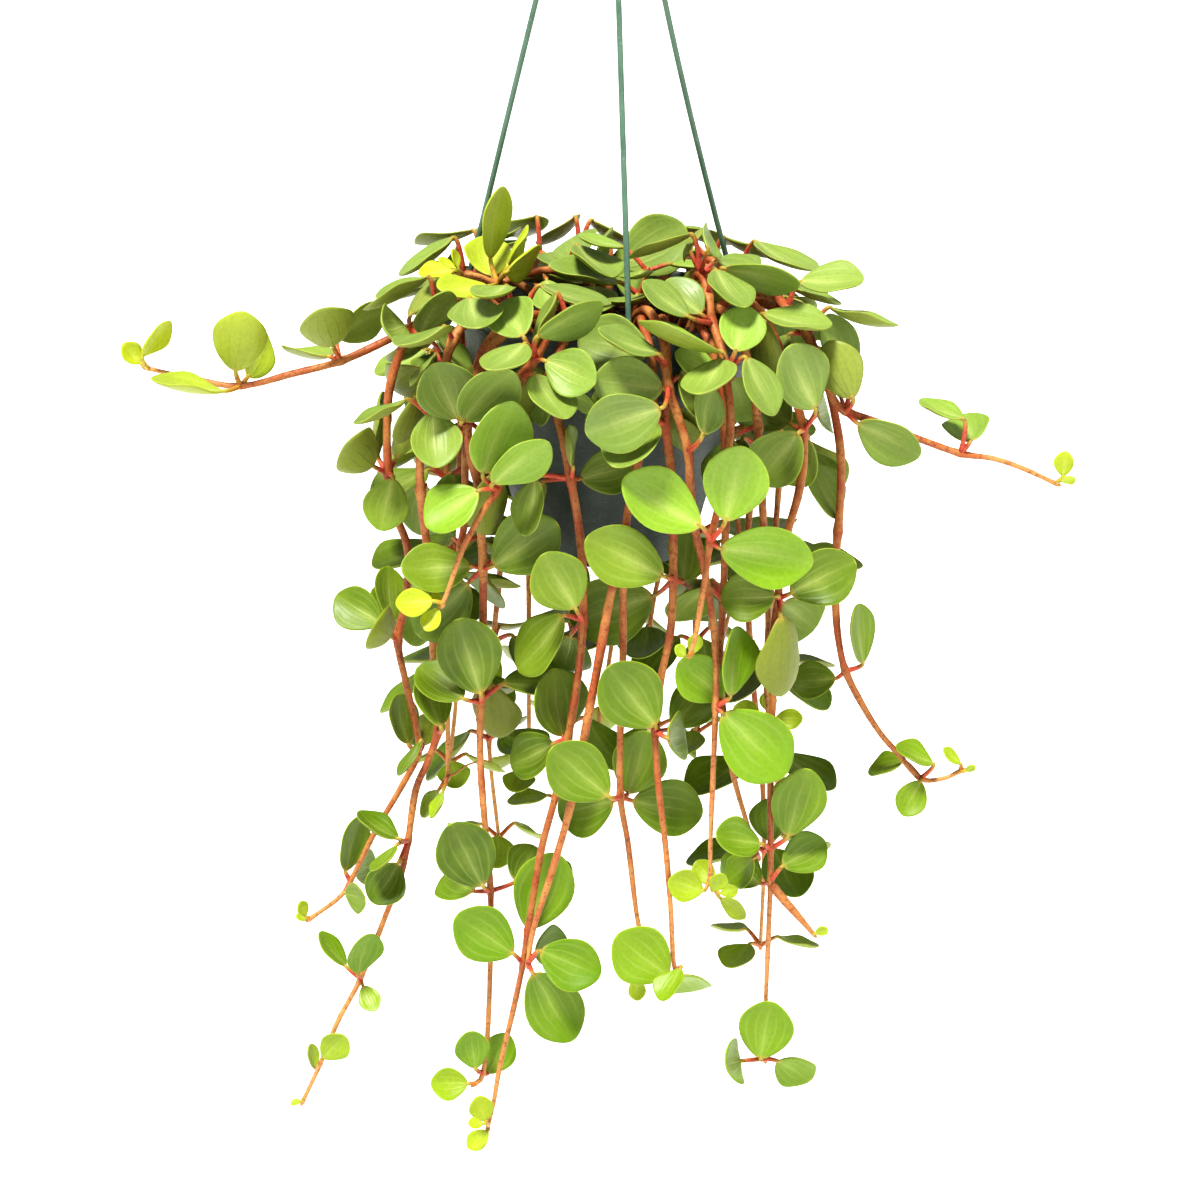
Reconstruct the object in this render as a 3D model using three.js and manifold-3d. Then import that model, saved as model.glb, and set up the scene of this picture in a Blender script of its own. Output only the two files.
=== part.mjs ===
// A hope peperomia trailing from a moulded hanging pot.
// Units are millimetres, +Z is up and the viewer of the front view looks along +Y.
// The origin is where the hook hangs, at the inner top of its bend.
import * as THREE from 'three';
import { mergeVertices } from 'three/addons/utils/BufferGeometryUtils.js';
import Module from 'manifold-3d';

const wasm = await Module();
wasm.setup();

// Pot
const RIM_HEIGHT = -252;
const RIM_RADIUS = 59.5;
const COLLAR_RADIUS = 56.5;
const COLLAR_HEIGHT = 27;
const BODY_RADIUS = 53.5;
const BASE_RADIUS = 34;
const POT_HEIGHT = 101;
const WALL = 1.8;
const FOOT_HEIGHT = 2.5;
const POT_SIDES = 30;
const DRAIN_RADIUS = 3.5;
const DRAIN_RING_RADIUS = 20;
const DRAIN_COUNT = 5;

// Soil
const SOIL_DEPTH = 12;
const SOIL_GAP = 0.3;
const SOIL_SIDES = 20;
const STEM_HOLE_DEPTH = 17;
const STEM_ROOT_DEPTH = 14;
const STEM_HOLE_RADIUS = 3;
const STEM_HOLE_SIDES = 5;

// Hanger: a hook with a socket block, and three strands that clip into slots in the collar
const HOOK_INNER_RADIUS = 9;
const HOOK_ROD_RADIUS = 1.8;
const BLOCK_HEIGHT = 12;
const BLOCK_RADIUS = 6.5;
const BLOCK_TOP = -26;
const SOCKET_DEPTH = 7;
const STRAND_RADIUS = 1.15;
const STRAND_SOCKET_GAP = 0.35;
const STRAND_STEPS = 9;
const SLOT_HEIGHT = 5;
const SLOT_WIDTH = 4;
const SLOT_BELOW_RIM = 9;
// Where each strand meets the rim, in degrees from the right towards the viewer, and its outward bow
const STRANDS = [
  { angle: 83, bow: 0 },
  { angle: 203, bow: 0.5 },
  { angle: 323, bow: -3.5 },
];

// Plant
const STEM_RADIUS = 1.9;
const TIP_RADIUS = 0.85;
const RING_SPACING = 27;
const RING_BEND = 0.6;
const NODE_BAND = 2.6;
const NECK_WIDTH = 2;
const NECK_HEIGHT = 1.5;
const FULL_GROWN = 25;
const BLADE_WIDTH = 0.83;
const BLADE_THICKNESS = 1.9;
const BLADE_CUP = 0.14;

// The front view that the stems and leaves are laid out in: millimetres across and up from the
// centre of the rim, and how far each point stands towards the viewer from the pot's axis
const VIEW_DISTANCE = 1600;
const VIEW_TILT = 14 * Math.PI / 180;
const VIEW_CENTRE = [-7.2, -119.6];
const EYE_ACROSS = -3.6;

// Distances that keep leaves and stems of different nodes from touching, between sample spots
const BLADE_GAP = 4.0;
const BLADE_STEM_GAP = 4.3;
const OWN_STEM_GAP = 3.2;
const PETIOLE_GAP = 3.4;
const PETIOLE_STEM_GAP = 3.8;
const PETIOLE_PETIOLE_GAP = 3.2;
const POT_GAP = 2.2;
const STEM_SPACING = 2.5;
const PETIOLE_SPACING = 2.5;
const SPOT_SPACING = 3.2;
const OWN_ROWS = 1;
const SLIDES = [0, 3, -3, 6, -6, 9, -9, 12, -12, 16, -16, 20, -20, 24, -24];
const FURTHEST_OUT = 19;
const RIM_STEP_IN = 7;
const RIM_STEP_UP = 5.5;
const TURNS = [0, 15, -15, 30, -30, 45, -45];
const SIZES = [1, 0.88, 0.76];

// Stems read off the front view. root: where it leaves the soil, to the right and towards the
// viewer from the axis. route: across, up, towards. leaves: route point, across and up of the
// blade's base, base's distance towards the viewer from that point, across and up of the tip, tip's
// distance towards the viewer from the base, and the turn of the blade about its length in degrees
const STEMS = [
  {name: 'arching_stem', root: [-6, -18], joins: '',
    route: [[-5, 1, -12], [-9, 9, -8], [-20, 12, -4], [-31, 12, 0], [-42, 9, 3], [-48, 7, 5],
      [-56, 10, 7], [-63, 11, 9]],
    leaves: [[1, -15, 18, 4, -19, 25, -24, 0], [1, -9, 17, 0, -2, 28, -14, 72],
      [1, 2, 14, 6, 27, 30, -6, 0], [1, -10, 6, 7, -10, -5, 23, 0], [5, -51, 17, -5, -46, 46, -4, 62],
      [5, -50, 10, 4, -54, 26, -18, 0], [5, -44, 14, -8, -36, 29, -16, 78],
      [5, -44, 12, -5, -32, 19, -20, 60], [5, -52, 6, 3, -72, 5, 14, 55],
      [7, -66, 12, 2, -80, 11, 3, 55], [7, -64, 13, -1, -66, 21, -2, 60], [7, -65, 13, 1, -72, 17, 0, 60]]},
  {name: 'left_reaching_stem', root: [-34, -2], joins: '',
    route: [[-60, 4, 8], [-75, -7, 14], [-91, -15, 18], [-111, -24, 22], [-130, -29, 23],
      [-151, -34, 22], [-170, -31, 20], [-188, -27, 18]],
    leaves: [[3, -114, -18, 3, -119, -3, 16, 180], [3, -112, -14, -8, -92, -3, -14, 50],
      [3, -116, -22, 0, -131, -19, -20, 82], [5, -153, -28, 3, -150, -4, 6, 180],
      [5, -158, -36, 2, -187, -31, 4, 78], [5, -148, -30, -8, -141, -12, -22, 40],
      [7, -191, -25, 1, -198, -17, 2, 10], [7, -190, -22, 1, -179, -8, -3, 60]]},
  {name: 'left_hanging_stem', root: [-38, 18], joins: '',
    route: [[-57, 0, 26], [-73, -4, 31], [-82, -11, 34], [-88, -23, 36], [-92, -40, 38],
      [-92, -69, 38], [-89, -85, 38], [-84, -100, 38], [-85, -120, 37], [-88, -136, 37],
      [-85, -152, 36], [-81, -170, 36], [-80, -181, 36], [-87, -195, 38], [-97, -212, 40],
      [-107, -232, 42], [-112, -239, 42], [-123, -247, 42]],
    leaves: [[2, -83, -6, 2, -72, 10, -16, 68], [2, -85, -10, 4, -93, -12, 22, 20],
      [2, -79, -13, 6, -68, 4, 10, 62], [2, -84, -15, -7, -84, -22, -22, 180],
      [5, -98, -66, 4, -109, -57, 18, 180], [5, -90, -71, 7, -95, -92, 8, 0],
      [5, -96, -62, -2, -94, -36, -6, 76], [5, -89, -63, -8, -80, -42, -12, 125],
      [9, -95, -129, 2, -113, -118, -12, 0], [9, -91, -134, 4, -98, -130, 20, 180],
      [9, -90, -128, -6, -92, -106, -14, 40], [12, -84, -177, 3, -88, -157, -4, 45],
      [12, -78, -178, -6, -77, -165, -20, 160], [12, -79, -176, 6, -88, -190, 8, 72],
      [15, -109, -228, 3, -103, -206, -6, 50], [15, -109, -237, 4, -101, -240, 14, 30],
      [15, -105, -229, -5, -97, -224, -18, 30], [17, -125, -246, 1, -127, -240, 1, 30],
      [17, -124, -247, 1, -129, -246, 1, 30]]},
  {name: 'left_long_stem', root: [-30, 32], joins: '',
    route: [[-48, -3, 38], [-60, -8, 46], [-66, -16, 50], [-70, -28, 52], [-75, -46, 52],
      [-79, -62, 52], [-79, -76, 52], [-77, -94, 50], [-74, -115, 50], [-74, -137, 50],
      [-72, -160, 49], [-72, -172, 49], [-76, -184, 48], [-81, -196, 48], [-84, -216, 48],
      [-87, -230, 49], [-93, -246, 50], [-103, -271, 51], [-112, -288, 51], [-119, -305, 51],
      [-126, -320, 51]],
    leaves: [[3, -73, -21, -4, -83, -34, 8, 80], [3, -79, -27, -9, -88, -37, -16, 150],
      [6, -77, -74, -7, -81, -93, -14, 20], [11, -74, -178, 4, -68, -174, -20, 20],
      [11, -71, -170, -6, -78, -150, -12, 40],
      [14, -88, -215, 3, -104, -204, -8, 58], [14, -88, -225, 7, -98, -241, 10, 0],
      [14, -89, -218, 5, -98, -228, 12, 70], [17, -109, -266, 1, -119, -252, -8, 58],
      [17, -104, -269, 5, -99, -253, 4, 35], [17, -102, -274, 3, -97, -284, 8, 0],
      [19, -118, -303, 3, -109, -294, 4, 10], [19, -121, -307, -2, -123, -297, -2, 55],
      [20, -127, -320, 1, -131, -321, -1, 40]]},
  {name: 'left_bare_stem', root: [-26, 36], joins: '',
    route: [[-42, -6, 44], [-53, -18, 50], [-58, -34, 44], [-61, -62, 44], [-61, -85, 43],
      [-63, -98, 42], [-67, -125, 41], [-68, -162, 41], [-68, -190, 41]],
    leaves: [[8, -72, -196, 2, -79, -206, -2, 55], [8, -70, -196, 1, -75, -207, 4, 70],
      [5, -66, -95, -8, -80, -99, -18, 60]]},
  {name: 'left_front_stem', root: [-16, 30], joins: '',
    route: [[-38, -8, 53], [-50, -18, 60], [-57, -32, 63], [-60, -48, 63], [-59, -62, 63],
      [-56, -74, 62], [-55, -88, 61], [-54, -107, 60], [-54, -131, 60], [-55, -160, 60],
      [-55, -185, 60], [-53, -212, 60], [-51, -236, 60], [-51, -260, 61], [-52, -290, 62],
      [-54, -309, 62], [-57, -313, 62]],
    leaves: [[3, -64, -47, 4, -74, -25, 8, 0], [3, -62, -48, 9, -42, -28, 6, 50],
      [3, -61, -44, -7, -60, -23, -16, 0], [3, -65, -58, -5, -74, -53, -20, 160],
      [7, -59, -106, 5, -87, -107, 6, 20], [7, -57, -101, -5, -78, -97, -12, 60],
      [7, -60, -113, 0, -80, -134, -4, 0], [7, -50, -106, 6, -24, -89, 4, 0],
      [7, -53, -112, -5, -53, -119, -22, 40], [9, -55, -157, 6, -64, -127, 2, 0],
      [9, -62, -159, -3, -80, -146, -10, 0], [12, -54, -234, 6, -67, -209, 3, 0],
      [12, -58, -236, -4, -70, -230, -20, 20], [12, -41, -232, -5, -33, -218, -18, 0],
      [15, -57, -307, 3, -59, -292, 3, 0], [15, -52, -309, -2, -44, -293, -3, 0],
      [16, -60, -313, 1, -75, -313, 2, 0]]},
  {name: 'forked_front_stem', root: [-16, 43], over: 8, joins: '',
    route: [[-20, -8, 65], [-27, -13, 71], [-33, -23, 72], [-38, -30, 73], [-42, -40, 74],
      [-46, -54, 73], [-49, -66, 72], [-48, -75, 73], [-54, -84, 75], [-62, -99, 76],
      [-67, -113, 76], [-70, -121, 76]],
    leaves: [[2, -38, -14, 4, -46, 0, -22, 0], [2, -32, -14, 6, -6, -1, -4, 58],
      [2, -35, -22, -5, -53, -15, -16, 40], [2, -29, -24, 8, -9, -33, 12, 0],
      [7, -54, -69, 5, -42, -40, 4, 30], [7, -50, -73, 8, -28, -56, 4, 48],
      [7, -56, -76, 3, -77, -90, 2, 30], [7, -57, -79, -4, -72, -93, -12, 110],
      [11, -74, -120, 2, -89, -121, 3, 0], [11, -72, -123, 3, -77, -132, 4, 30],
      [11, -71, -121, -2, -75, -116, -3, 40]]},
  {name: 'pot_front_stem', root: [-1, 31], joins: '',
    route: [[-16, -8, 53], [-22, -17, 66], [-27, -29, 71], [-26, -40, 72], [-22, -55, 72],
      [-19, -71, 72], [-16, -88, 71], [-14, -108, 69], [-14, -128, 67], [-16, -150, 66],
      [-20, -175, 66], [-25, -198, 67], [-31, -221, 67], [-36, -252, 67], [-38, -265, 67],
      [-42, -284, 67], [-47, -305, 67], [-50, -322, 67], [-52, -330, 67]],
    leaves: [[2, -29, -37, 4, -31, -50, 4, 45], [2, -21, -36, 2, -9, -42, 8, 55],
      [5, -33, -71, 0, -38, -94, 4, 60], [5, -31, -73, -8, -37, -88, -12, 110],
      [5, -15, -71, 0, 7, -65, -6, 0], [5, -18, -66, 3, -20, -50, 4, 78],
      [8, -17, -123, 4, -30, -101, 4, 0], [8, -22, -126, 0, -40, -148, -4, 40],
      [8, -19, -134, -7, -22, -148, -18, 0], [10, -22, -174, 3, -26, -147, 0, 25],
      [10, -26, -177, -2, -43, -186, -8, 25], [13, -36, -251, 5, -24, -221, 0, 0],
      [13, -33, -247, -8, -20, -224, -8, 0], [14, -42, -261, 3, -65, -246, 2, 0],
      [18, -53, -328, 2, -56, -318, 2, 0], [18, -52, -332, 2, -60, -339, 2, 0],
      [18, -54, -329, 3, -60, -329, 2, 30]]},
  {name: 'centre_stem', root: [9, 42], joins: '',
    route: [[10, -10, 56], [13, -20, 66], [14, -34, 71], [13, -46, 72], [9, -60, 72],
      [4, -84, 71], [3, -96, 70], [2, -118, 68], [2, -140, 67], [1, -170, 66], [1, -198, 66],
      [4, -217, 67], [7, -242, 68], [9, -256, 68], [8, -270, 68]],
    leaves: [[10, -4, -198, 3, -27, -179, 2, 0], [10, 4, -197, 3, 12, -172, 0, 0],
      [10, 6, -200, -3, 34, -205, -4, 0], [10, -2, -200, -8, -24, -205, -16, 0],
      [14, 7, -271, 1, 8, -280, 2, 0], [14, 9, -268, -4, 3, -258, -8, 0]]},
  {name: 'centre_branch', root: [], joins: 'centre_stem',
    route: [[3, -95, 70], [-3, -118, 72], [-7, -140, 72], [-10, -156, 73], [-15, -182, 75],
      [-20, -206, 75], [-27, -230, 75], [-34, -252, 75], [-36, -265, 75]],
    leaves: [[8, -31, -260, 4, -7, -270, 4, 0], [8, -34, -269, 2, -18, -296, 0, 0],
      [8, -33, -262, -6, -20, -256, -18, 0]]},
  {name: 'centre_right_stem', root: [14, 32], joins: '',
    route: [[18, -7, 52], [19, -16, 63], [20, -34, 69], [19, -50, 71], [21, -66, 71],
      [22, -90, 71], [22, -111, 71], [21, -132, 71], [17, -152, 72], [15, -172, 73],
      [16, -192, 74], [19, -218, 75], [21, -242, 76], [22, -262, 76], [23, -268, 76]],
    leaves: [[6, 18, -110, 5, -13, -95, -2, 0], [6, 14, -118, 0, -19, -129, -6, 0],
      [6, 26, -112, -7, 28, -92, -18, 30], [6, 29, -115, -3, 38, -128, -16, 30],
      [9, 15, -170, 5, -4, -146, 2, 0], [9, 5, -173, 0, -19, -155, -10, 0],
      [9, 22, -170, -5, 36, -154, -12, 0], [9, 20, -175, -5, 27, -174, -22, 0],
      [14, 20, -270, 5, -1, -254, 2, 0], [14, 24, -270, -5, 31, -276, -18, 40],
      [14, 25, -267, 3, 17, -280, 9, 45]]},
  {name: 'crown_stem', root: [24, 14], joins: '',
    route: [[28, 4, 28], [33, 11, 36], [36, 2, 46], [38, -9, 57], [42, -21, 69], [43, -29, 74],
      [45, -45, 77], [44, -60, 78], [41, -78, 79], [37, -96, 80], [35, -110, 81],
      [33, -122, 82], [31, -134, 84], [29, -141, 85]],
    leaves: [[1, 29, 20, 0, 31, 25, -20, 100], [1, 36, 21, -4, 38, 27, -24, 15],
      [1, 43, 13, 4, 73, 6, 0, 60], [3, 33, -5, -4, 20, 9, -14, 30], [3, 28, -6, 0, 10, 8, -6, 52],
      [5, 47, -20, 4, 52, -2, -20, 0], [5, 41, -20, 4, 8, -8, -6, 60],
      [5, 41, -32, 9, 17, -17, 4, 22], [5, 46, -31, -10, 52, -48, -14, 20],
      [9, 33, -90, 5, 2, -71, 2, 22], [9, 43, -88, 6, 50, -58, 2, 0],
      [9, 41, -99, 2, 78, -105, -2, 25], [13, 27, -142, 2, 23, -138, 2, 20],
      [13, 30, -141, 1, 31, -133, 0, 20], [13, 29, -143, 4, 26, -147, 7, 0]]},
  {name: 'right_front_stem', root: [6, 24], over: 9, joins: '',
    route: [[18, -15, 70], [19, -26, 75], [20, -34, 79], [24, -46, 81], [28, -60, 81],
      [29, -75, 80], [31, -92, 73], [34, -105, 71], [37, -122, 71], [39, -140, 72],
      [39, -162, 73], [38, -190, 73], [37, -215, 73], [37, -230, 73]],
    leaves: [[2, 18, -35, 4, -10, -32, 5, 0], [2, 17, -43, -2, -13, -53, -2, 15],
      [2, 23, -39, -5, 25, -51, -10, 55], [1, 16, -21, 4, -8, -11, -2, 48],
      [1, 12, -20, -5, -20, -15, -12, 20], [4, 34, -53, -6, 38, -34, -14, 0],
      [10, 42, -159, 5, 19, -139, 2, 0], [10, 45, -158, -5, 48, -130, -8, 55],
      [10, 42, -165, 2, 67, -190, 0, 0], [13, 34, -236, 2, 20, -232, 3, 0],
      [13, 38, -236, 3, 42, -229, 2, 20], [13, 41, -237, 1, 48, -235, 1, 20],
      [13, 41, -239, 1, 51, -247, 3, 50], [13, 38, -233, -5, 31, -224, -6, 0],
      [13, 38, -236, -4, 36, -243, -6, 0]]},
  {name: 'young_tip_stem', root: [33, 29], joins: '',
    route: [[42, -4, 46], [49, -14, 54], [53, -30, 58], [56, -50, 56], [58, -85, 52],
      [59, -105, 51], [60, -128, 51], [59, -150, 54], [60, -166, 58]],
    leaves: [[3, 46, -55, 6, 36, -75, 6, 40], [8, 57, -166, 2, 46, -163, 3, 0],
      [8, 60, -164, 1, 60, -156, -1, 0], [8, 63, -167, 2, 74, -167, 3, 0],
      [8, 60, -168, 3, 61, -172, 1, 30]]},
  {name: 'right_long_stem', root: [36, 22], joins: '',
    route: [[52, 0, 34], [62, -13, 42], [68, -30, 50], [73, -46, 55], [74, -52, 57],
      [74, -65, 60], [72, -78, 63], [68, -92, 65], [65, -108, 66], [64, -119, 66],
      [62, -135, 67], [62, -157, 67], [61, -175, 66], [61, -198, 65], [61, -219, 65],
      [61, -232, 65], [60, -258, 65], [59, -283, 65], [59, -303, 65]],
    leaves: [[4, 79, -43, 5, 68, -18, 4, 28], [4, 80, -45, -6, 84, -44, -22, 0],
      [4, 72, -53, 4, 56, -73, -6, 0], [4, 76, -55, -3, 64, -72, -12, 0],
      [4, 69, -49, -5, 50, -36, -14, 0], [9, 63, -118, -5, 38, -119, -10, 0],
      [9, 69, -117, 3, 95, -104, 0, 0], [9, 66, -121, -3, 79, -131, -14, 0],
      [9, 65, -126, -6, 66, -158, -2, 130], [14, 61, -216, -7, 60, -199, -14, 0],
      [14, 68, -214, 5, 76, -187, 0, 18], [14, 57, -217, 4, 39, -214, 8, 30],
      [15, 66, -226, 3, 83, -216, -12, 0], [15, 57, -233, 0, 42, -222, -10, 0],
      [18, 57, -303, 5, 61, -280, 2, 0], [18, 49, -304, 1, 43, -305, 20, 0],
      [18, 64, -304, 1, 77, -312, -8, 30]]},
  {name: 'right_side_shoot', root: [], joins: 'right_long_stem',
    route: [[61, -233, 65], [65, -238, 64], [72, -246, 63], [78, -253, 62]],
    leaves: [[3, 79, -253, 1, 84, -251, 1, 30]]},
  {name: 'right_thin_stem', root: [40, -4], joins: '',
    route: [[47, 1, 4], [54, 1, 10], [64, -4, 20], [75, -13, 28], [82, -27, 33], [86, -42, 36],
      [89, -60, 38], [89, -78, 38], [88, -92, 38], [87, -106, 37], [87, -120, 36],
      [88, -134, 36], [91, -148, 36], [98, -162, 36], [105, -173, 36], [112, -181, 36],
      [121, -191, 36], [130, -191, 35], [137, -188, 34]],
    leaves: [[1, 50, 8, -3, 40, 9, -16, 58], [1, 53, 11, -7, 47, 19, -18, 68],
      [1, 58, 9, -3, 66, 3, -18, 40], [1, 60, 2, 4, 72, 5, -14, 68], [1, 61, -2, 7, 71, 0, 10, 72],
      [8, 88, -87, 1, 77, -65, -6, 48], [12, 98, -145, 1, 96, -121, -2, 58],
      [12, 87, -151, -2, 69, -152, -6, 10], [16, 114, -184, -4, 100, -188, -6, 55],
      [16, 126, -185, 2, 111, -178, 0, 55], [16, 121, -192, 3, 114, -206, 5, 0],
      [18, 137, -185, 1, 130, -179, 0, 55], [18, 139, -188, 1, 143, -186, 1, 40]]},
  {name: 'right_reaching_stem', root: [42, 10], joins: '',
    route: [[60, 3, 20], [68, -3, 30], [76, -14, 40], [81, -27, 46], [86, -39, 49],
      [91, -44, 50], [105, -49, 51], [120, -55, 51], [137, -61, 51], [150, -63, 51],
      [162, -67, 51], [175, -73, 51]],
    leaves: [[5, 93, -31, -7, 84, -5, -8, 48], [5, 94, -39, 2, 84, -16, -6, 120],
      [5, 89, -38, 5, 85, -26, -18, 70], [5, 96, -49, 4, 121, -62, 4, 42],
      [1, 69, 1, -4, 88, -17, -10, 62], [8, 141, -56, 1, 139, -45, -22, 0],
      [8, 138, -47, -6, 121, -39, -12, 66], [11, 178, -70, 1, 179, -60, 1, 0],
      [11, 177, -72, 2, 183, -71, 3, 50]]},
  {name: 'hidden_right_stem', root: [27, 34], joins: '',
    route: [[32, -9, 51], [37, -18, 59], [40, -32, 62], [43, -60, 66], [43, -90, 64],
      [42, -120, 60], [41, -150, 58], [45, -184, 58], [51, -207, 58], [56, -222, 58]],
    leaves: [[5, 36, -115, -4, 22, -128, -10, 0], [9, 54, -223, 2, 44, -232, -8, 20]]},
];

// Stems on the far side, which the front view doesn't show: how many, and their spread and reach
const BACK_STEMS = 11;
const BACK_FROM = 192;
const BACK_TO = 350;
const BACK_ROOT_RADIUS = 40;
const BACK_HANG_RADIUS = 70;
const BACK_LENGTHS = [190, 330];
const NODE_SPACING = [38, 50];
const WHORL = 3;
const BLADE_LENGTHS = [25, 31];
const PETIOLE_LENGTHS = [9, 14];

// Short upright shoots in the middle of the crown: root to the right and towards the viewer,
// rise above the soil, and lean to the right and towards the viewer
const CROWN_SHOOTS = [
  [10, 6, 27, 5, 6],
  [-18, 6, 24, -7, 6],
  [14, -16, 26, 6, -9],
  [32, -8, 24, 9, -5],
];

const UP = new THREE.Vector3(0, 0, 1);
const SOIL_TOP = RIM_HEIGHT - SOIL_DEPTH;
const BASE_HEIGHT = RIM_HEIGHT - POT_HEIGHT;
const COLLAR_BASE = RIM_HEIGHT - COLLAR_HEIGHT;
const EYE = new THREE.Vector3(
  EYE_ACROSS,
  -VIEW_DISTANCE * Math.cos(VIEW_TILT),
  RIM_HEIGHT + VIEW_DISTANCE * Math.sin(VIEW_TILT),
);
const EYE_PITCH = VIEW_TILT - Math.atan(VIEW_CENTRE[1] / VIEW_DISTANCE);

// A repeatable stream of numbers from 0 to 1
let seed = 20251;
function draw() {
  seed = (seed * 1664525 + 1013904223) % 4294967296;
  return seed / 4294967296;
}

function between([low, high]) {
  return low + (high - low) * draw();
}

// The point that the front view shows at across and up, standing this far towards the viewer
function seen(across, up, towards) {
  const right = (across - VIEW_CENTRE[0]) / VIEW_DISTANCE;
  const rise = (up - VIEW_CENTRE[1]) / VIEW_DISTANCE;
  const forward = Math.cos(EYE_PITCH) + rise * Math.sin(EYE_PITCH);
  const reach = (-towards - EYE.y) / forward;
  const climb = rise * Math.cos(EYE_PITCH) - Math.sin(EYE_PITCH);
  return new THREE.Vector3(EYE.x + reach * right, -towards, EYE.z + reach * climb);
}

// A closed geometry from vertices and triangles
function closedGeometry(points, triangles) {
  const geometry = new THREE.BufferGeometry();
  const flat = points.flatMap((point) => [point.x, point.y, point.z]);
  geometry.setAttribute('position', new THREE.Float32BufferAttribute(flat, 3));
  geometry.setIndex(triangles.flat());
  return geometry;
}

// Two directions square to each tangent of a line of points, carried along without twist
function frames(points) {
  let side = null;
  return points.map((point, index) => {
    const before = points[Math.max(index - 1, 0)];
    const after = points[Math.min(index + 1, points.length - 1)];
    const tangent = after.clone().sub(before).normalize();
    if (side === null) {
      side = Math.abs(tangent.z) > 0.9 ? new THREE.Vector3(1, 0, 0) : new THREE.Vector3(0, 0, 1);
    }
    side = side.clone().addScaledVector(tangent, -side.dot(tangent)).normalize();
    return { tangent, side, cross: tangent.clone().cross(side) };
  });
}

// A closed tube through the points, with its own radius at each
function tube(points, radii, sides) {
  const vertices = [];
  frames(points).forEach(({ side, cross }, ring) => {
    for (let corner = 0; corner < sides; corner += 1) {
      const angle = 2 * Math.PI * corner / sides;
      vertices.push(points[ring].clone()
        .addScaledVector(side, radii[ring] * Math.cos(angle))
        .addScaledVector(cross, radii[ring] * Math.sin(angle)));
    }
  });
  const triangles = [];
  for (let ring = 0; ring < points.length - 1; ring += 1) {
    for (let corner = 0; corner < sides; corner += 1) {
      const next = (corner + 1) % sides;
      const a = ring * sides + corner;
      const b = ring * sides + next;
      triangles.push([a, b, b + sides], [a, b + sides, a + sides]);
    }
  }
  const last = (points.length - 1) * sides;
  for (let corner = 1; corner < sides - 1; corner += 1) {
    triangles.push([0, corner + 1, corner], [last, last + corner, last + corner + 1]);
  }
  return closedGeometry(vertices, triangles);
}

// Manifold solids and back
function solid(geometry) {
  const merged = geometry.clone();
  merged.deleteAttribute('normal');
  merged.deleteAttribute('uv');
  const clean = mergeVertices(merged, 1e-4);
  return new wasm.Manifold(new wasm.Mesh({
    numProp: 3,
    vertProperties: new Float32Array(clean.attributes.position.array),
    triVerts: new Uint32Array(clean.index.array),
  }));
}

// The largest piece of a fused body, without the scraps that crossing blades can leave
function whole(body) {
  const pieces = body.decompose();
  return pieces.reduce((best, piece) => (piece.volume() > best.volume() ? piece : best));
}

function geometryOf(body) {
  const mesh = body.getMesh();
  const geometry = new THREE.BufferGeometry();
  geometry.setAttribute('position', new THREE.Float32BufferAttribute(mesh.vertProperties, 3));
  geometry.setIndex([...mesh.triVerts]);
  geometry.computeVertexNormals();
  return geometry;
}

function finish(colour, roughness, metalness) {
  return new THREE.MeshStandardMaterial({ color: colour, roughness, metalness });
}

function named(name, geometry, material) {
  const mesh = new THREE.Mesh(geometry, material);
  mesh.name = name;
  return mesh;
}

// The blade's outline: how far along and how wide it is at an angle round it from the base
function outlineAlong(angle) {
  return (1 - Math.cos(angle)) / 2;
}

function outlineWidth(angle) {
  return Math.sin(angle) * (1 - 0.14 * Math.cos(angle));
}

// How wide the blade is at a fraction of its length, as a share of its greatest width
function widthAt(along) {
  return outlineWidth(Math.acos(1 - 2 * along));
}

// A point of the dished blade: along from 0 to 1, aside from -1 to 1 of its half width there
function bladePoint(leaf, along, aside) {
  const spread = aside * widthAt(along);
  const lift = spread * spread + 0.5 * (2 * along - 1) ** 2 - 0.5;
  return leaf.base.clone()
    .addScaledVector(leaf.along, leaf.length * along)
    .addScaledVector(leaf.aside, leaf.width / 2 * spread)
    .addScaledVector(leaf.face, leaf.length * BLADE_CUP * lift);
}

// The petiole bends from the stem into the line of the blade
function petiolePoint(leaf, part) {
  const reach = leaf.base.distanceTo(leaf.root);
  const knee = leaf.base.clone().addScaledVector(leaf.along, -0.18 * reach);
  const early = leaf.root.clone().lerp(knee, part);
  return early.lerp(knee.clone().lerp(leaf.base, part), part);
}

// Spots spread over a blade and along a petiole, for telling whether leaves are clear of each other
const SPOT_ROWS = 9;

function bladeSpots(leaf) {
  const rows = [];
  for (let row = 0; row < SPOT_ROWS; row += 1) {
    const along = 0.05 + 0.92 * row / (SPOT_ROWS - 1);
    const half = Math.floor(leaf.width / 2 * widthAt(along) / SPOT_SPACING + 0.5);
    const spots = [];
    for (let index = -half; index <= half; index += 1) {
      spots.push(bladePoint(leaf, along, half === 0 ? 0 : 0.97 * index / half));
    }
    rows.push(spots);
  }
  return rows;
}

function petioleSpots(leaf) {
  const spots = [];
  const count = Math.floor(leaf.base.distanceTo(leaf.root) / PETIOLE_SPACING + 0.5) + 1;
  for (let index = 0; index < count; index += 1) {
    spots.push(petiolePoint(leaf, 0.22 + 0.73 * index / count));
  }
  return spots;
}

// Where the pot's outer wall is at a height
function potRadius(height) {
  if (height > COLLAR_BASE) {
    const share = (height - COLLAR_BASE) / COLLAR_HEIGHT;
    return COLLAR_RADIUS + (RIM_RADIUS - COLLAR_RADIUS) * share;
  }
  const share = (height - BASE_HEIGHT) / (COLLAR_BASE - BASE_HEIGHT);
  return BASE_RADIUS + (BODY_RADIUS - BASE_RADIUS) * share;
}

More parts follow.
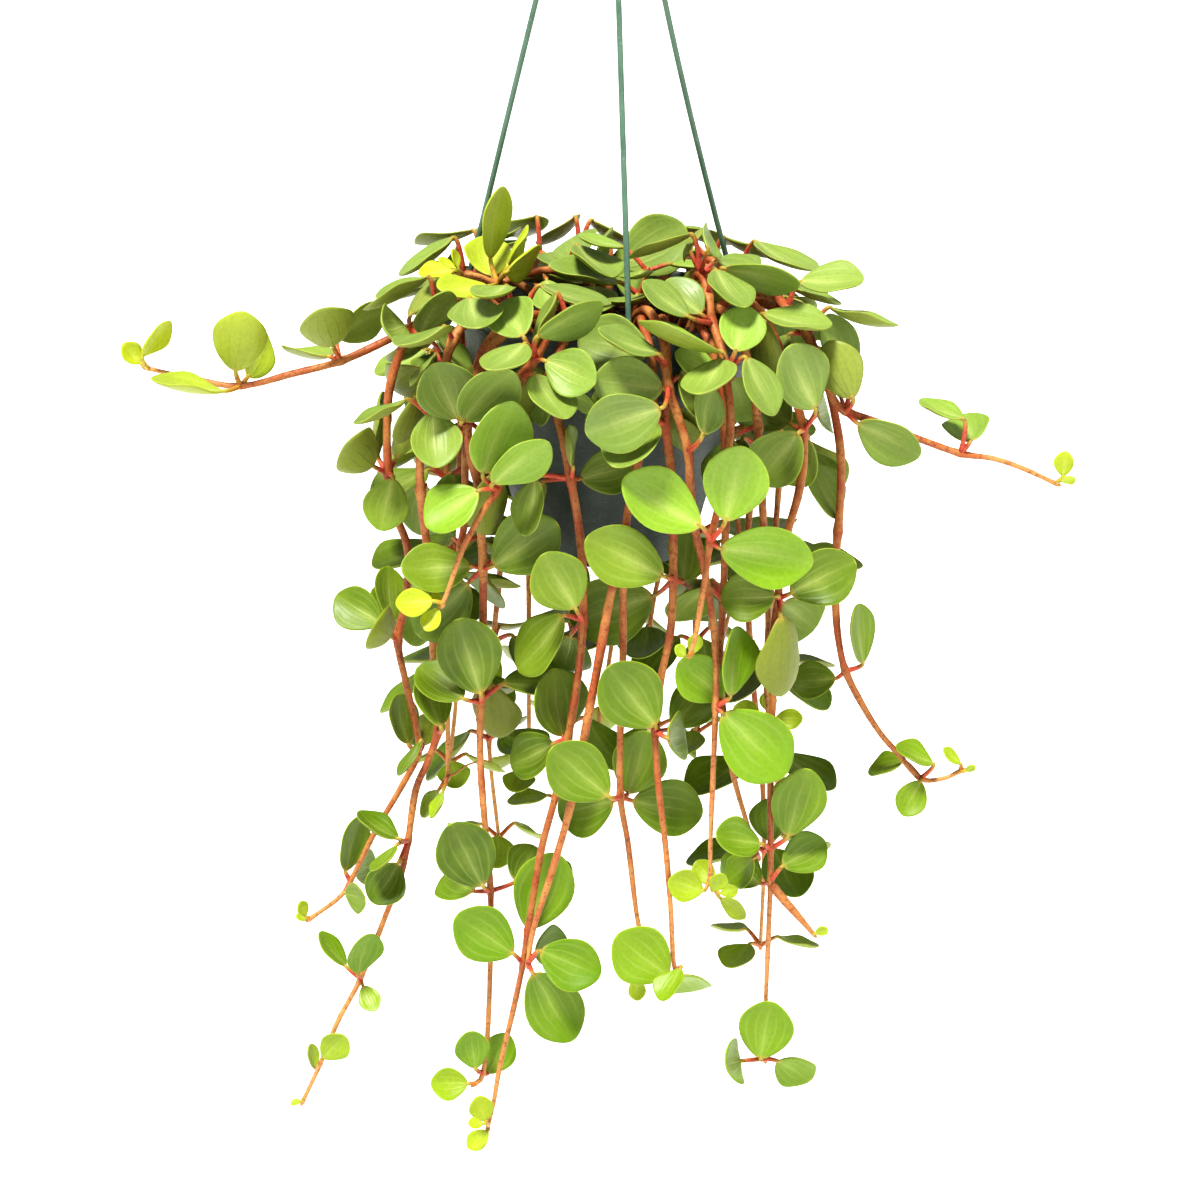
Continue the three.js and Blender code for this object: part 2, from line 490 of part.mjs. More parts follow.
// Whether a spot keeps off the pot's wall, its soil and what is under its base
function clearOfPot(spot, gap) {
  if (spot.z > RIM_HEIGHT + gap || spot.z < BASE_HEIGHT - gap) {
    return true;
  }
  const radius = Math.hypot(spot.x, spot.y);
  const outside = radius > potRadius(spot.z) + gap;
  const inside = radius < potRadius(spot.z) - WALL - gap && spot.z > SOIL_TOP + gap;
  return outside || inside;
}

// Everything placed so far that a new leaf has to clear
const placedLeaves = [];
const stemSpots = [];

function clearOf(spots, others, gap) {
  for (const spot of spots) {
    for (const other of others) {
      if (spot.distanceToSquared(other) < gap * gap) {
        return false;
      }
    }
  }
  return true;
}

function fits(leaf) {
  const rows = bladeSpots(leaf);
  const blade = rows.flat();
  const outer = rows.slice(OWN_ROWS).flat();
  const petiole = petioleSpots(leaf);
  if (![...blade, ...petiole].every((spot) => clearOfPot(spot, POT_GAP))) {
    return false;
  }
  const centre = bladePoint(leaf, 0.5, 0);
  const reach = leaf.length / 2 + leaf.base.distanceTo(leaf.root) + 4;
  for (const stem of stemSpots) {
    const near = stem.spots.filter((spot) => spot.distanceTo(centre) < reach + BLADE_STEM_GAP);
    const own = stem.name === leaf.stem;
    if (!clearOf(own ? outer : blade, near, own ? OWN_STEM_GAP : BLADE_STEM_GAP)) {
      return false;
    }
    if (!own && !clearOf(petiole, near, PETIOLE_STEM_GAP)) {
      return false;
    }
  }
  for (const other of placedLeaves) {
    if (other.centre.distanceTo(centre) > reach + other.reach) {
      continue;
    }
    const sameNode = other.leaf.root.distanceTo(leaf.root) < 1;
    const mine = sameNode ? outer : blade;
    const theirs = sameNode ? other.outer : other.blade;
    const apart = clearOf(mine, theirs, BLADE_GAP)
      && clearOf(mine, other.petiole, PETIOLE_GAP)
      && clearOf(petiole, theirs, PETIOLE_GAP)
      && (sameNode || clearOf(petiole, other.petiole, PETIOLE_PETIOLE_GAP));
    if (!apart) {
      return false;
    }
  }
  placedLeaves.push({ leaf, centre, reach, blade, outer, petiole });
  return true;
}

// A leaf from its root on the stem, base, tip and upper face
function makeLeaf(stem, root, base, tip, faceHint, turn) {
  const along = tip.clone().sub(base);
  const length = along.length();
  along.normalize();
  const face = faceHint.clone().addScaledVector(along, -faceHint.dot(along)).normalize();
  face.applyAxisAngle(along, turn * Math.PI / 180);
  const aside = face.clone().cross(along);
  const width = length * (length > 33 ? 0.78 : BLADE_WIDTH);
  return { stem, root, base, along, aside, face, length, width };
}

// A leaf read off the front view slides along the line of sight, and then turns, until it is clear
function seenLeaf(stem, route, entry) {
  const [at, baseAcross, baseUp, out, tipAcross, tipUp, lean, turn] = entry;
  const root = seen(...route[at]);
  for (const size of SIZES) {
    for (const extraTurn of TURNS) {
      for (const slide of SLIDES) {
        if (Math.abs(out + slide) > FURTHEST_OUT) {
          continue;
        }
        const towards = route[at][2] + out + slide;
        const base = seen(baseAcross, baseUp, towards);
        const tip = seen(tipAcross, tipUp, towards + lean);
        const sight = EYE.clone().sub(base).normalize();
        const end = base.clone().lerp(tip, size);
        const leaf = makeLeaf(stem, root, base, end, sight, turn + extraTurn);
        if (fits(leaf)) {
          return leaf;
        }
      }
    }
  }
  return null;
}

// A leaf grown by rule: round the stem by its angle, its blade drooping outwards, tried at a few
// angles until it is clear
function grownLeaf(stem, root, tangent, angle, petiole, length, droop, turn) {
  const side = Math.abs(tangent.z) > 0.9 ? new THREE.Vector3(1, 0, 0) : UP.clone();
  side.addScaledVector(tangent, -side.dot(tangent)).normalize();
  const cross = tangent.clone().cross(side);
  for (const extra of [0, 18, -18, 36, -36, 54, -54]) {
    const around = (angle + extra) * Math.PI / 180;
    const outward = side.clone().multiplyScalar(Math.cos(around))
      .addScaledVector(cross, Math.sin(around));
    for (const tip of [droop, droop + 25, droop - 15]) {
      const pitch = tip * Math.PI / 180;
      const level = new THREE.Vector3(outward.x, outward.y, 0);
      if (level.length() < 0.2) {
        continue;
      }
      level.normalize();
      const along = level.clone().multiplyScalar(Math.cos(pitch)).addScaledVector(UP, -Math.sin(pitch));
      const base = root.clone().addScaledVector(outward, petiole * 0.8)
        .addScaledVector(UP, petiole * 0.4);
      const end = base.clone().addScaledVector(along, length);
      const hint = UP.clone().addScaledVector(level, 0.3);
      const leaf = makeLeaf(stem, root, base, end, hint, turn);
      if (fits(leaf)) {
        return leaf;
      }
    }
  }
  return null;
}

// A stem's centre line, from inside its hole in the soil
function centreLine(points) {
  return new THREE.CatmullRomCurve3(points, false, 'catmullrom', 0.5);
}

function rooted(x, towards) {
  return [-STEM_ROOT_DEPTH, 1, 7].map((rise) => new THREE.Vector3(x, -towards, SOIL_TOP + rise));
}

// A stem that leaves the pot at once first rises over its rim
function overRim(soilSpot, first, rise) {
  const near = Math.hypot(soilSpot.x, soilSpot.y);
  const far = Math.hypot(first.x, first.y);
  const crossing = RIM_RADIUS - RIM_STEP_IN;
  if (near > crossing - 4 || far < crossing + 4) {
    return [];
  }
  const spot = soilSpot.clone().lerp(first, (crossing - near) / (far - near));
  spot.z = RIM_HEIGHT + rise;
  return [spot];
}

// Points along a curve close enough together that it stays smooth, at its given points and between
function ringPoints(curve, spacing) {
  const count = curve.points.length - 1;
  const rings = [];
  for (let index = 0; index < count; index += 1) {
    const length = curve.points[index].distanceTo(curve.points[index + 1]);
    const parts = Math.max(1, Math.round(length / spacing));
    for (let part = 0; part < parts; part += 1) {
      rings.push(curve.getPoint((index + part / parts) / count));
    }
  }
  rings.push(curve.points[count].clone());
  return rings;
}

// Pot: a thin wall with a rolled lip and a deep collar over a tapering body
function lathed(outline, sides) {
  const points = outline.map(([radius, height]) => new THREE.Vector2(radius, height));
  const geometry = new THREE.LatheGeometry(points, sides);
  geometry.rotateX(Math.PI / 2);
  return solid(geometry);
}

function makePot() {
  const foot = BASE_HEIGHT + FOOT_HEIGHT;
  const outline = [
    [0, foot],
    [BASE_RADIUS - 4, foot],
    [BASE_RADIUS - 3, BASE_HEIGHT],
    [BASE_RADIUS, BASE_HEIGHT],
    [BODY_RADIUS - 0.5, COLLAR_BASE - 2.5],
    [COLLAR_RADIUS - 1, COLLAR_BASE - 1],
    [COLLAR_RADIUS, COLLAR_BASE],
    [RIM_RADIUS - 1.2, RIM_HEIGHT - 4.5],
    [RIM_RADIUS, RIM_HEIGHT - 3.5],
    [RIM_RADIUS, RIM_HEIGHT - 0.8],
    [RIM_RADIUS - 0.9, RIM_HEIGHT],
    [RIM_RADIUS - 2.4, RIM_HEIGHT - 0.4],
    [RIM_RADIUS - 3, RIM_HEIGHT - 4.5],
    [COLLAR_RADIUS - WALL, COLLAR_BASE + 1],
    [BODY_RADIUS - WALL, COLLAR_BASE - 3.5],
    [BASE_RADIUS - WALL, foot + WALL],
    [0, foot + WALL],
  ];
  let pot = lathed(outline, POT_SIDES);
  for (const { angle } of STRANDS) {
    const slot = new THREE.BoxGeometry(8, SLOT_WIDTH, SLOT_HEIGHT);
    slot.translate(RIM_RADIUS - 3, 0, RIM_HEIGHT - SLOT_BELOW_RIM);
    slot.rotateZ(-angle * Math.PI / 180);
    pot = pot.subtract(solid(slot));
  }
  for (let index = 0; index < DRAIN_COUNT; index += 1) {
    const hole = new THREE.CylinderGeometry(DRAIN_RADIUS, DRAIN_RADIUS, 12, 8);
    hole.rotateX(Math.PI / 2);
    hole.translate(DRAIN_RING_RADIUS, 0, foot);
    hole.rotateZ(2 * Math.PI * index / DRAIN_COUNT);
    pot = pot.subtract(solid(hole));
  }
  return pot;
}

// Soil fills the pot to below the slots, a little higher in the middle, with a hole for each stem
function makeSoil(roots) {
  const foot = BASE_HEIGHT + FOOT_HEIGHT + WALL + SOIL_GAP;
  const gap = WALL + SOIL_GAP;
  const outline = [
    [0, foot],
    [BASE_RADIUS - gap - 0.2, foot],
    [BODY_RADIUS - gap - 0.2, COLLAR_BASE - 3.5],
    [COLLAR_RADIUS - gap - 0.2, COLLAR_BASE + 1.2],
    [COLLAR_RADIUS - gap + 0.9, SOIL_TOP - 1.5],
    [COLLAR_RADIUS - gap - 3, SOIL_TOP - 0.4],
    [COLLAR_RADIUS * 0.5, SOIL_TOP + 0.3],
    [0, SOIL_TOP + 0.5],
  ];
  let soil = lathed(outline, SOIL_SIDES);
  for (const [x, towards] of roots) {
    const deep = 2 * STEM_HOLE_DEPTH;
    const hole = new THREE.CylinderGeometry(STEM_HOLE_RADIUS, STEM_HOLE_RADIUS, deep, STEM_HOLE_SIDES);
    hole.rotateX(Math.PI / 2);
    hole.translate(x, -towards, SOIL_TOP);
    soil = soil.subtract(solid(hole));
  }
  return soil;
}

// Hanger: the hook bends over the hanging point; the strands start in sockets under its block
function strandSpot(angle, radius, height) {
  const around = angle * Math.PI / 180;
  return new THREE.Vector3(radius * Math.cos(around), -radius * Math.sin(around), height);
}

function strandPath({ angle, bow }) {
  const top = BLOCK_TOP - BLOCK_HEIGHT + SOCKET_DEPTH - 1;
  const outside = RIM_RADIUS + 2.2;
  const low = RIM_HEIGHT - SLOT_BELOW_RIM + SLOT_HEIGHT / 2 - STRAND_RADIUS - 0.35;
  const path = [];
  for (let step = 0; step < STRAND_STEPS; step += 1) {
    const share = step / STRAND_STEPS;
    const radius = 3.3 + (outside - 3.3) * share + bow * Math.sin(Math.PI * share);
    path.push(strandSpot(angle, radius, top + (RIM_HEIGHT + 3 - top) * share));
  }
  path.push(strandSpot(angle, outside, RIM_HEIGHT + 2));
  path.push(strandSpot(angle, outside, low + 3));
  path.push(strandSpot(angle, outside - 1.4, low + 0.5));
  path.push(strandSpot(angle, outside - 4, low));
  path.push(strandSpot(angle, outside - 7, low));
  path.push(strandSpot(angle, outside - 8.8, low + 0.8));
  path.push(strandSpot(angle, outside - 9.4, low + 3.4));
  return path;
}

function rod(points, radius, sides, steps) {
  const path = new THREE.CatmullRomCurve3(points, false, 'centripetal');
  const outline = new THREE.Shape();
  for (let corner = 0; corner < sides; corner += 1) {
    const angle = 2 * Math.PI * corner / sides;
    const x = radius * Math.cos(angle);
    const y = radius * Math.sin(angle);
    if (corner === 0) {
      outline.moveTo(x, y);
    } else {
      outline.lineTo(x, y);
    }
  }
  const options = { steps, extrudePath: path, bevelEnabled: false };
  return new THREE.ExtrudeGeometry(outline, options);
}

function makeHook() {
  const middle = HOOK_INNER_RADIUS + HOOK_ROD_RADIUS;
  const path = [
    new THREE.Vector3(0, 0, BLOCK_TOP - 3),
    new THREE.Vector3(0, 0, BLOCK_TOP + 1),
    new THREE.Vector3(middle * 0.35, 0, BLOCK_TOP + 4.5),
  ];
  for (let angle = -50; angle <= 205; angle += 15) {
    const around = angle * Math.PI / 180;
    const height = -HOOK_INNER_RADIUS + middle * Math.sin(around);
    path.push(new THREE.Vector3(middle * Math.cos(around), 0, height));
  }
  const block = new THREE.CylinderGeometry(BLOCK_RADIUS * 0.8, BLOCK_RADIUS, BLOCK_HEIGHT, 16);
  block.rotateX(Math.PI / 2);
  block.translate(0, 0, BLOCK_TOP - BLOCK_HEIGHT / 2);
  return solid(rod(path, HOOK_ROD_RADIUS, 8, 22)).add(solid(block));
}

// The blade's faces round a centre above and one below, starting from four corners at its neck
const OUTLINE_ANGLES = [46, 90, 134].map((angle) => angle * Math.PI / 180);

// A short leaf is thinner than a full-grown one
function slender(leaf) {
  return Math.min(1, 0.5 + leaf.length / FULL_GROWN / 2);
}

// The neck's corners lie square to a line halfway between the petiole's and the blade's
function neckCorners(leaf) {
  const neck = bladePoint(leaf, 0.02, 0);
  const middle = leaf.base.clone().sub(leaf.root).normalize().add(leaf.along);
  if (middle.length() < 0.2) {
    middle.copy(leaf.along);
  }
  middle.normalize();
  const aside = leaf.aside.clone().addScaledVector(middle, -leaf.aside.dot(middle)).normalize();
  const up = middle.cross(aside).negate();
  if (up.dot(leaf.face) < 0) {
    up.negate();
  }
  return [[1, -1], [1, 1], [-1, 1], [-1, -1]].map(([across, rise]) => neck.clone()
    .addScaledVector(aside, across * slender(leaf) * NECK_WIDTH / 2)
    .addScaledVector(up, rise * slender(leaf) * NECK_HEIGHT / 2));
}

// Grows a leaf's petiole and blade out of four corners of a surface under construction
function growLeaf(points, triangles, corners, leaf) {
  const neck = neckCorners(leaf);
  const centre = (spots) => spots
    .reduce((sum, spot) => sum.add(spot), new THREE.Vector3()).multiplyScalar(0.25);
  const from = corners.map((corner) => points[corner]);
  const shift = centre(neck).sub(centre(from));
  const twist = (turn) => from.reduce(
    (sum, spot, index) => sum + spot.clone().add(shift).distanceToSquared(neck[(index + turn) % 4]),
    0,
  );
  const turn = [0, 1, 2, 3].reduce((best, next) => (twist(next) < twist(best) ? next : best));
  const start = points.length;
  points.push(...neck);
  const [rightUnder, right, left, leftUnder] = [0, 1, 2, 3].map((index) => start + index);
  for (let index = 0; index < 4; index += 1) {
    const next = (index + 1) % 4;
    const near = start + (index + turn) % 4;
    const far = start + (next + turn) % 4;
    triangles.push([corners[index], corners[next], far], [corners[index], far, near]);
  }
  const rightEdge = [right];
  const leftEdge = [left];
  OUTLINE_ANGLES.forEach((angle) => {
    const along = outlineAlong(angle);
    rightEdge.push(points.length);
    points.push(bladePoint(leaf, along, 1));
    leftEdge.push(points.length);
    points.push(bladePoint(leaf, along, -1));
  });
  const tip = points.length;
  points.push(bladePoint(leaf, 1, 0));
  const top = points.length;
  points.push(bladePoint(leaf, 0.5, 0).addScaledVector(leaf.face, slender(leaf) * BLADE_THICKNESS / 2));
  const under = points.length;
  points.push(bladePoint(leaf, 0.5, 0).addScaledVector(leaf.face, -slender(leaf) * BLADE_THICKNESS / 2));
  const loop = [...rightEdge, tip, ...leftEdge.reverse()];
  for (let index = 0; index < loop.length - 1; index += 1) {
    triangles.push([top, loop[index + 1], loop[index]], [under, loop[index], loop[index + 1]]);
  }
  triangles.push([top, right, left]);
  triangles.push([under, left, leftUnder], [under, leftUnder, rightUnder], [under, rightUnder, right]);
}

// A leaf of its own, closed at the root of its petiole, to be fused into a stem
function looseLeaf(leaf) {
  const tangent = leaf.base.clone().sub(leaf.root).normalize();
  const side = leaf.aside.clone().addScaledVector(tangent, -leaf.aside.dot(tangent)).normalize();
  const up = tangent.clone().cross(side);
  const points = [[1, -1], [1, 1], [-1, 1], [-1, -1]].map(([aside, rise]) => leaf.root.clone()
    .addScaledVector(side, aside * slender(leaf) * NECK_WIDTH / 2)
    .addScaledVector(up, rise * slender(leaf) * NECK_HEIGHT / 2));
  const triangles = [[0, 3, 2], [0, 2, 1]];
  growLeaf(points, triangles, [0, 1, 2, 3], leaf);
  return closedGeometry(points, triangles);
}

// The rings of a stem: one at each bend, two close together at each node that bears leaves
function stemRings(curve, bearing) {
  const count = curve.points.length - 1;
  const rings = [];
  const add = (centre, tangent, node) => rings.push({ centre, tangent, node });
  for (let index = 0; index <= count; index += 1) {
    const centre = curve.points[index].clone();
    const tangent = curve.getTangent(index / count);
    if (bearing.has(index)) {
      const last = index === count;
      add(centre.clone().addScaledVector(tangent, last ? -NODE_BAND : -NODE_BAND / 2), tangent, index);
      add(centre.clone().addScaledVector(tangent, last ? 0 : NODE_BAND / 2), tangent, null);
    } else {
      add(centre, tangent, null);
    }
    if (index < count) {
      const length = curve.points[index].distanceTo(curve.points[index + 1]);
      const bend = tangent.angleTo(curve.getTangent((index + 1) / count));
      const parts = Math.max(Math.round(length / RING_SPACING), Math.round(bend / RING_BEND));
      for (let part = 1; part < parts; part += 1) {
        const at = (index + part / parts) / count;
        add(curve.getPoint(at), curve.getTangent(at), null);
      }
    }
  }
  return rings;
}

// Gives leaves to the four sides of a node, with the turn of the sides that suits them best
function matchSides(leaves, centre, tangent, side, cross) {
  const angles = leaves.map((leaf) => {
    const out = leaf.base.clone().sub(centre);
    return Math.atan2(out.dot(cross), out.dot(side));
  });
  let best = null;
  for (let step = 0; step < 6; step += 1) {
    const turn = step * Math.PI / 12;
    const sides = [null, null, null, null];
    let score = 0;
    leaves.forEach((leaf, index) => {
      const level = (angles[index] - turn) / (Math.PI / 2);
      const facing = ((Math.floor(level) % 4) + 4) % 4;
      const miss = Math.abs(level - Math.floor(level) - 0.5);
      const steep = Math.abs(leaf.base.clone().sub(centre).normalize().dot(tangent));
      if (sides[facing] === null && steep < 0.9) {
        sides[facing] = leaf;
        score += 1 - miss;
      }
    });
    if (best === null || score > best.score) {
      best = { turn, sides, score };
    }
  }
  return best;
}

// Whether two triangles that share no corner cross each other
const ray = new THREE.Ray();
const crossing = new THREE.Vector3();

function edgeCrosses(from, to, [a, b, c]) {
  ray.origin.copy(from);
  ray.direction.copy(to).sub(from).normalize();
  const hit = ray.intersectTriangle(a, b, c, false, crossing);
  return hit !== null && crossing.distanceTo(from) <= from.distanceTo(to);
}

function trianglesCross(points, first, second) {
  if (first.some((corner) => second.includes(corner))) {
    return false;
  }
  const one = first.map((corner) => points[corner]);
  const two = second.map((corner) => points[corner]);
  const apart = ['x', 'y', 'z'].some((axis) => {
    const [low, high] = [Math.min(...one.map((p) => p[axis])), Math.max(...one.map((p) => p[axis]))];
    return two.every((p) => p[axis] < low) || two.every((p) => p[axis] > high);
  });
  return !apart && [0, 1, 2].some((index) => {
    const next = (index + 1) % 3;
    return edgeCrosses(one[index], one[next], two) || edgeCrosses(two[index], two[next], one);
  });
}

// Replaces one side of a node with a leaf, unless its faces would cut others of the stem
function growFromSide(points, triangles, quad, leaf) {
  const [p, q, , r] = quad.map((index) => points[index]);
  const normal = q.clone().sub(p).cross(r.clone().sub(p)).normalize();
  const middle = points[quad[0]].clone().add(points[quad[2]]).multiplyScalar(0.5);
  const steep = neckCorners(leaf).some((corner) => {
    const step = corner.sub(middle);
    return step.dot(normal) < 0.3 * step.length();
  });
  if (steep) {
    return false;
  }
  const allPoints = [...points];
  const own = [];
  growLeaf(allPoints, own, quad, leaf);
  const cut = own.some((mine) => triangles.some((other) => trianglesCross(allPoints, mine, other)));
  if (cut) {
    return false;
  }
  points.push(...allPoints.slice(points.length));
  triangles.push(...own);
  return true;
}

// A stem with its leaves: those with a side of their node to themselves grow straight out of it,
// the others are fused into it
function leafyStem(stem, leaves) {
  const offset = (index) => leaves.filter((leaf) => leaf.at === index);
  const bearing = new Set(leaves.map((leaf) => leaf.at));
  const rings = stemRings(stem.curve, bearing);
  const points = [];
  const triangles = [];
  const openSides = [];
  let side = Math.abs(rings[0].tangent.z) > 0.9 ? new THREE.Vector3(1, 0, 0) : UP.clone();
  let turn = 0;
  let open = null;
  let lastFirst = 0;
  rings.forEach(({ centre, tangent, node }, ring) => {
    side = side.clone().addScaledVector(tangent, -side.dot(tangent)).normalize();
    const cross = tangent.clone().cross(side);
    const sides = open;
    open = null;
    if (node !== null) {
      const match = matchSides(offset(node), centre, tangent, side, cross);
      const quarter = Math.PI / 2;
      const nearest = match.turn + quarter * Math.round((turn - match.turn) / quarter);
      const shift = Math.round((nearest - match.turn) / quarter);
      turn = nearest;
      open = [0, 1, 2, 3].map((facing) => match.sides[(((facing + shift) % 4) + 4) % 4]);
    }
    const share = ring / (rings.length - 1);
    const radius = (STEM_RADIUS + (TIP_RADIUS - STEM_RADIUS) * share ** 3) * stem.scale;
    const first = points.length;
    for (let corner = 0; corner < 4; corner += 1) {
      const angle = turn + corner * Math.PI / 2;
      points.push(centre.clone()
        .addScaledVector(side, radius * Math.cos(angle))
        .addScaledVector(cross, radius * Math.sin(angle)));
    }
    const before = lastFirst;
    lastFirst = first;
    if (ring === 0) {
      triangles.push([0, 2, 1], [0, 3, 2]);
      return;
    }
    for (let corner = 0; corner < 4; corner += 1) {
      const next = (corner + 1) % 4;
      const quad = [before + corner, before + next, first + next, first + corner];
      const leaf = sides === null ? null : sides[corner];
      if (leaf) {
        openSides.push({ quad, leaf });
      } else {
        triangles.push([quad[0], quad[1], quad[2]], [quad[0], quad[2], quad[3]]);
      }
    }
    if (ring === rings.length - 1) {
      triangles.push([first, first + 1, first + 2], [first, first + 2, first + 3]);
    }
  });
  const grownLeaves = new Set();
  openSides.forEach(({ quad, leaf }) => {
    if (growFromSide(points, triangles, quad, leaf)) {
      grownLeaves.add(leaf);
    } else {
      triangles.push([quad[0], quad[1], quad[2]], [quad[0], quad[2], quad[3]]);
    }
  });
  let body = solid(closedGeometry(points, triangles));
  leaves.filter((leaf) => !grownLeaves.has(leaf)).forEach((leaf) => {
    body = body.add(solid(looseLeaf(leaf)));
  });
  return body;
}

// Stems: the seen ones by their table, the far ones and the crown shoots by rule
const stems = [];

function addStem(name, curvePoints, joins, scale) {
  const curve = centreLine(curvePoints);
  const spots = ringPoints(curve, STEM_SPACING)
    .filter((spot) => spot.z > SOIL_TOP + 2 || Math.hypot(spot.x, spot.y) > RIM_RADIUS - 5);
  const stem = { name, joins, curve, scale };
  stems.push(stem);
  stemSpots.push({ name: joins || name, spots });
  return stem;
}

STRANDS.forEach((strand, index) => {
  const curve = new THREE.CatmullRomCurve3(strandPath(strand), false, 'centripetal');
  stemSpots.push({ name: `hanger_strand_${index + 1}`, spots: curve.getSpacedPoints(90) });
});

const roots = [];
STEMS.forEach((entry) => {
  const route = entry.route.map((spot) => seen(...spot));
  const start = entry.root.length > 0 ? rooted(...entry.root) : [];
  if (entry.root.length > 0) {
    roots.push(entry.root);
    start.push(...overRim(start[2], route[0], entry.over || RIM_STEP_UP));
  }
  addStem(entry.name, [...start, ...route], entry.joins, 1).first = start.length;
});

// A far stem climbs over the rim at its angle and hangs down, wandering a little
function backRoute(angle, length) {
  const around = (degrees, radius, height) => {
    const turn = degrees * Math.PI / 180;
    return new THREE.Vector3(radius * Math.cos(turn), -radius * Math.sin(turn), height);
  };
  const out = BACK_HANG_RADIUS;
  const points = [
    around(angle, BACK_ROOT_RADIUS + 7, RIM_HEIGHT + 3),
    around(angle, out - 9, RIM_HEIGHT + 6),
    around(angle, out - 1, RIM_HEIGHT - 6),
  ];
  const nodes = [1];
  let drop = 24;
  while (drop < length) {
    const wander = (draw() - 0.5) * 7;
    const radius = out + (draw() - 0.3) * 8;
    points.push(around(angle + wander, radius, RIM_HEIGHT - 6 - drop));
    nodes.push(points.length - 1);
    drop += between(NODE_SPACING);
  }
  return { points, nodes };
}

const grown = [];
for (let index = 0; index < BACK_STEMS; index += 1) {
  const even = BACK_FROM + (BACK_TO - BACK_FROM) * (index + 0.5) / BACK_STEMS;
  const angle = even + (draw() - 0.5) * 5;
  const turn = angle * Math.PI / 180;
  const inward = index % 2 === 0 ? 0 : 12;
  const reach = BACK_ROOT_RADIUS - inward;
  const root = [reach * Math.cos(turn), reach * Math.sin(turn)];
  const { points, nodes } = backRoute(angle, between(BACK_LENGTHS));
  roots.push(root);
  const start = rooted(...root);
  const stem = addStem(`far_stem_${index + 1}`, [...start, ...points], '', 0.95);
  grown.push({ stem, nodes: nodes.map((node) => node + start.length), droop: 28 });
}

CROWN_SHOOTS.forEach(([x, towards, rise, leanX, leanTowards], index) => {
  roots.push([x, towards]);
  const start = rooted(x, towards);
  const top = SOIL_TOP + rise;
  const middle = new THREE.Vector3(x + leanX * 0.4, -towards - leanTowards * 0.4, (SOIL_TOP + top) / 2 + 3);
  const end = new THREE.Vector3(x + leanX, -towards - leanTowards, top);
  const stem = addStem(`crown_shoot_${index + 1}`, [...start, middle, end], '', 0.85);
  grown.push({ stem, nodes: [start.length, start.length + 1], droop: 2 });
});

// Leaves of the seen stems, then of the far stems and shoots
const leaves = [];
STEMS.forEach((entry) => {
  entry.leaves.forEach((leafEntry) => {
    const leaf = seenLeaf(entry.joins || entry.name, entry.route, leafEntry);
    if (leaf) {
      const { first } = stems.find((stem) => stem.name === entry.name);
      leaves.push({ ...leaf, tube: entry.name, at: first + leafEntry[0] });
    }
  });
});

grown.forEach(({ stem, nodes, droop }) => {
  let phase = draw() * 360;
  nodes.forEach((node, order) => {
    const count = stem.curve.points.length - 1;
    const tangent = stem.curve.getTangent(node / count);
    const last = order === nodes.length - 1;
    for (let index = 0; index < WHORL; index += 1) {
      const angle = phase + 360 * index / WHORL + (draw() - 0.5) * 24;
      const length = between(BLADE_LENGTHS) * (last ? 0.66 : 1);
      const petiole = between(PETIOLE_LENGTHS);
      const leaf = grownLeaf(
        stem.name, stem.curve.points[node], tangent, angle, petiole, length,
        droop + (draw() - 0.5) * 40, (draw() - 0.5) * 30,
      );
      if (leaf) {
        leaves.push({ ...leaf, tube: stem.name, at: node });
      }
    }
    phase += 45;
  });
});

// Every node of the object
const plant = new THREE.Group();
const nodeNames = stems.filter((stem) => stem.joins === '').map((stem) => stem.name);
nodeNames.forEach((name) => {
  let body = null;
  stems.filter((stem) => stem.name === name || stem.joins === name).forEach((stem) => {
    const grown = leafyStem(stem, leaves.filter((leaf) => leaf.tube === stem.name));
    body = body === null ? grown : body.add(grown);
  });
  plant.add(named(name, geometryOf(whole(body)), finish('#6f8f3e', 0.42, 0)));
});

plant.add(named('pot', geometryOf(makePot()), finish('#3c4642', 0.5, 0)));
plant.add(named('soil', geometryOf(makeSoil(roots)), finish('#3a2c22', 0.95, 0)));

let hookBody = makeHook();
STRANDS.forEach((strand, index) => {
  const path = strandPath(strand);
  const top = path[0];
  const next = path[1];
  const strandSolid = solid(tube(path, path.map(() => STRAND_RADIUS), 6));
  const direction = next.clone().sub(top).normalize();
  const start = top.clone().addScaledVector(direction, -STRAND_SOCKET_GAP);
  const end = top.clone().addScaledVector(direction, 2.5 * SOCKET_DEPTH);
  const socket = rod([start, end], STRAND_RADIUS + STRAND_SOCKET_GAP, 8, 1);
  hookBody = hookBody.subtract(solid(socket));
  const strandName = `hanger_strand_${index + 1}`;
  plant.add(named(strandName, geometryOf(strandSolid), finish('#55786a', 0.45, 0)));
});
plant.add(named('hanger_hook', geometryOf(hookBody), finish('#55786a', 0.45, 0)));

export default plant;
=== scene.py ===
"""A hope peperomia trailing from a moulded hanging pot, with its materials, light and camera.

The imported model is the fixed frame. Every node is replaced by a finer piece of the same form in
the same place: the stems and leaves follow the same lines and the same placing rule. Lengths are
in millimetres until a mesh is made, +Z is up and the viewer of the front view looks along +Y.
"""
import math

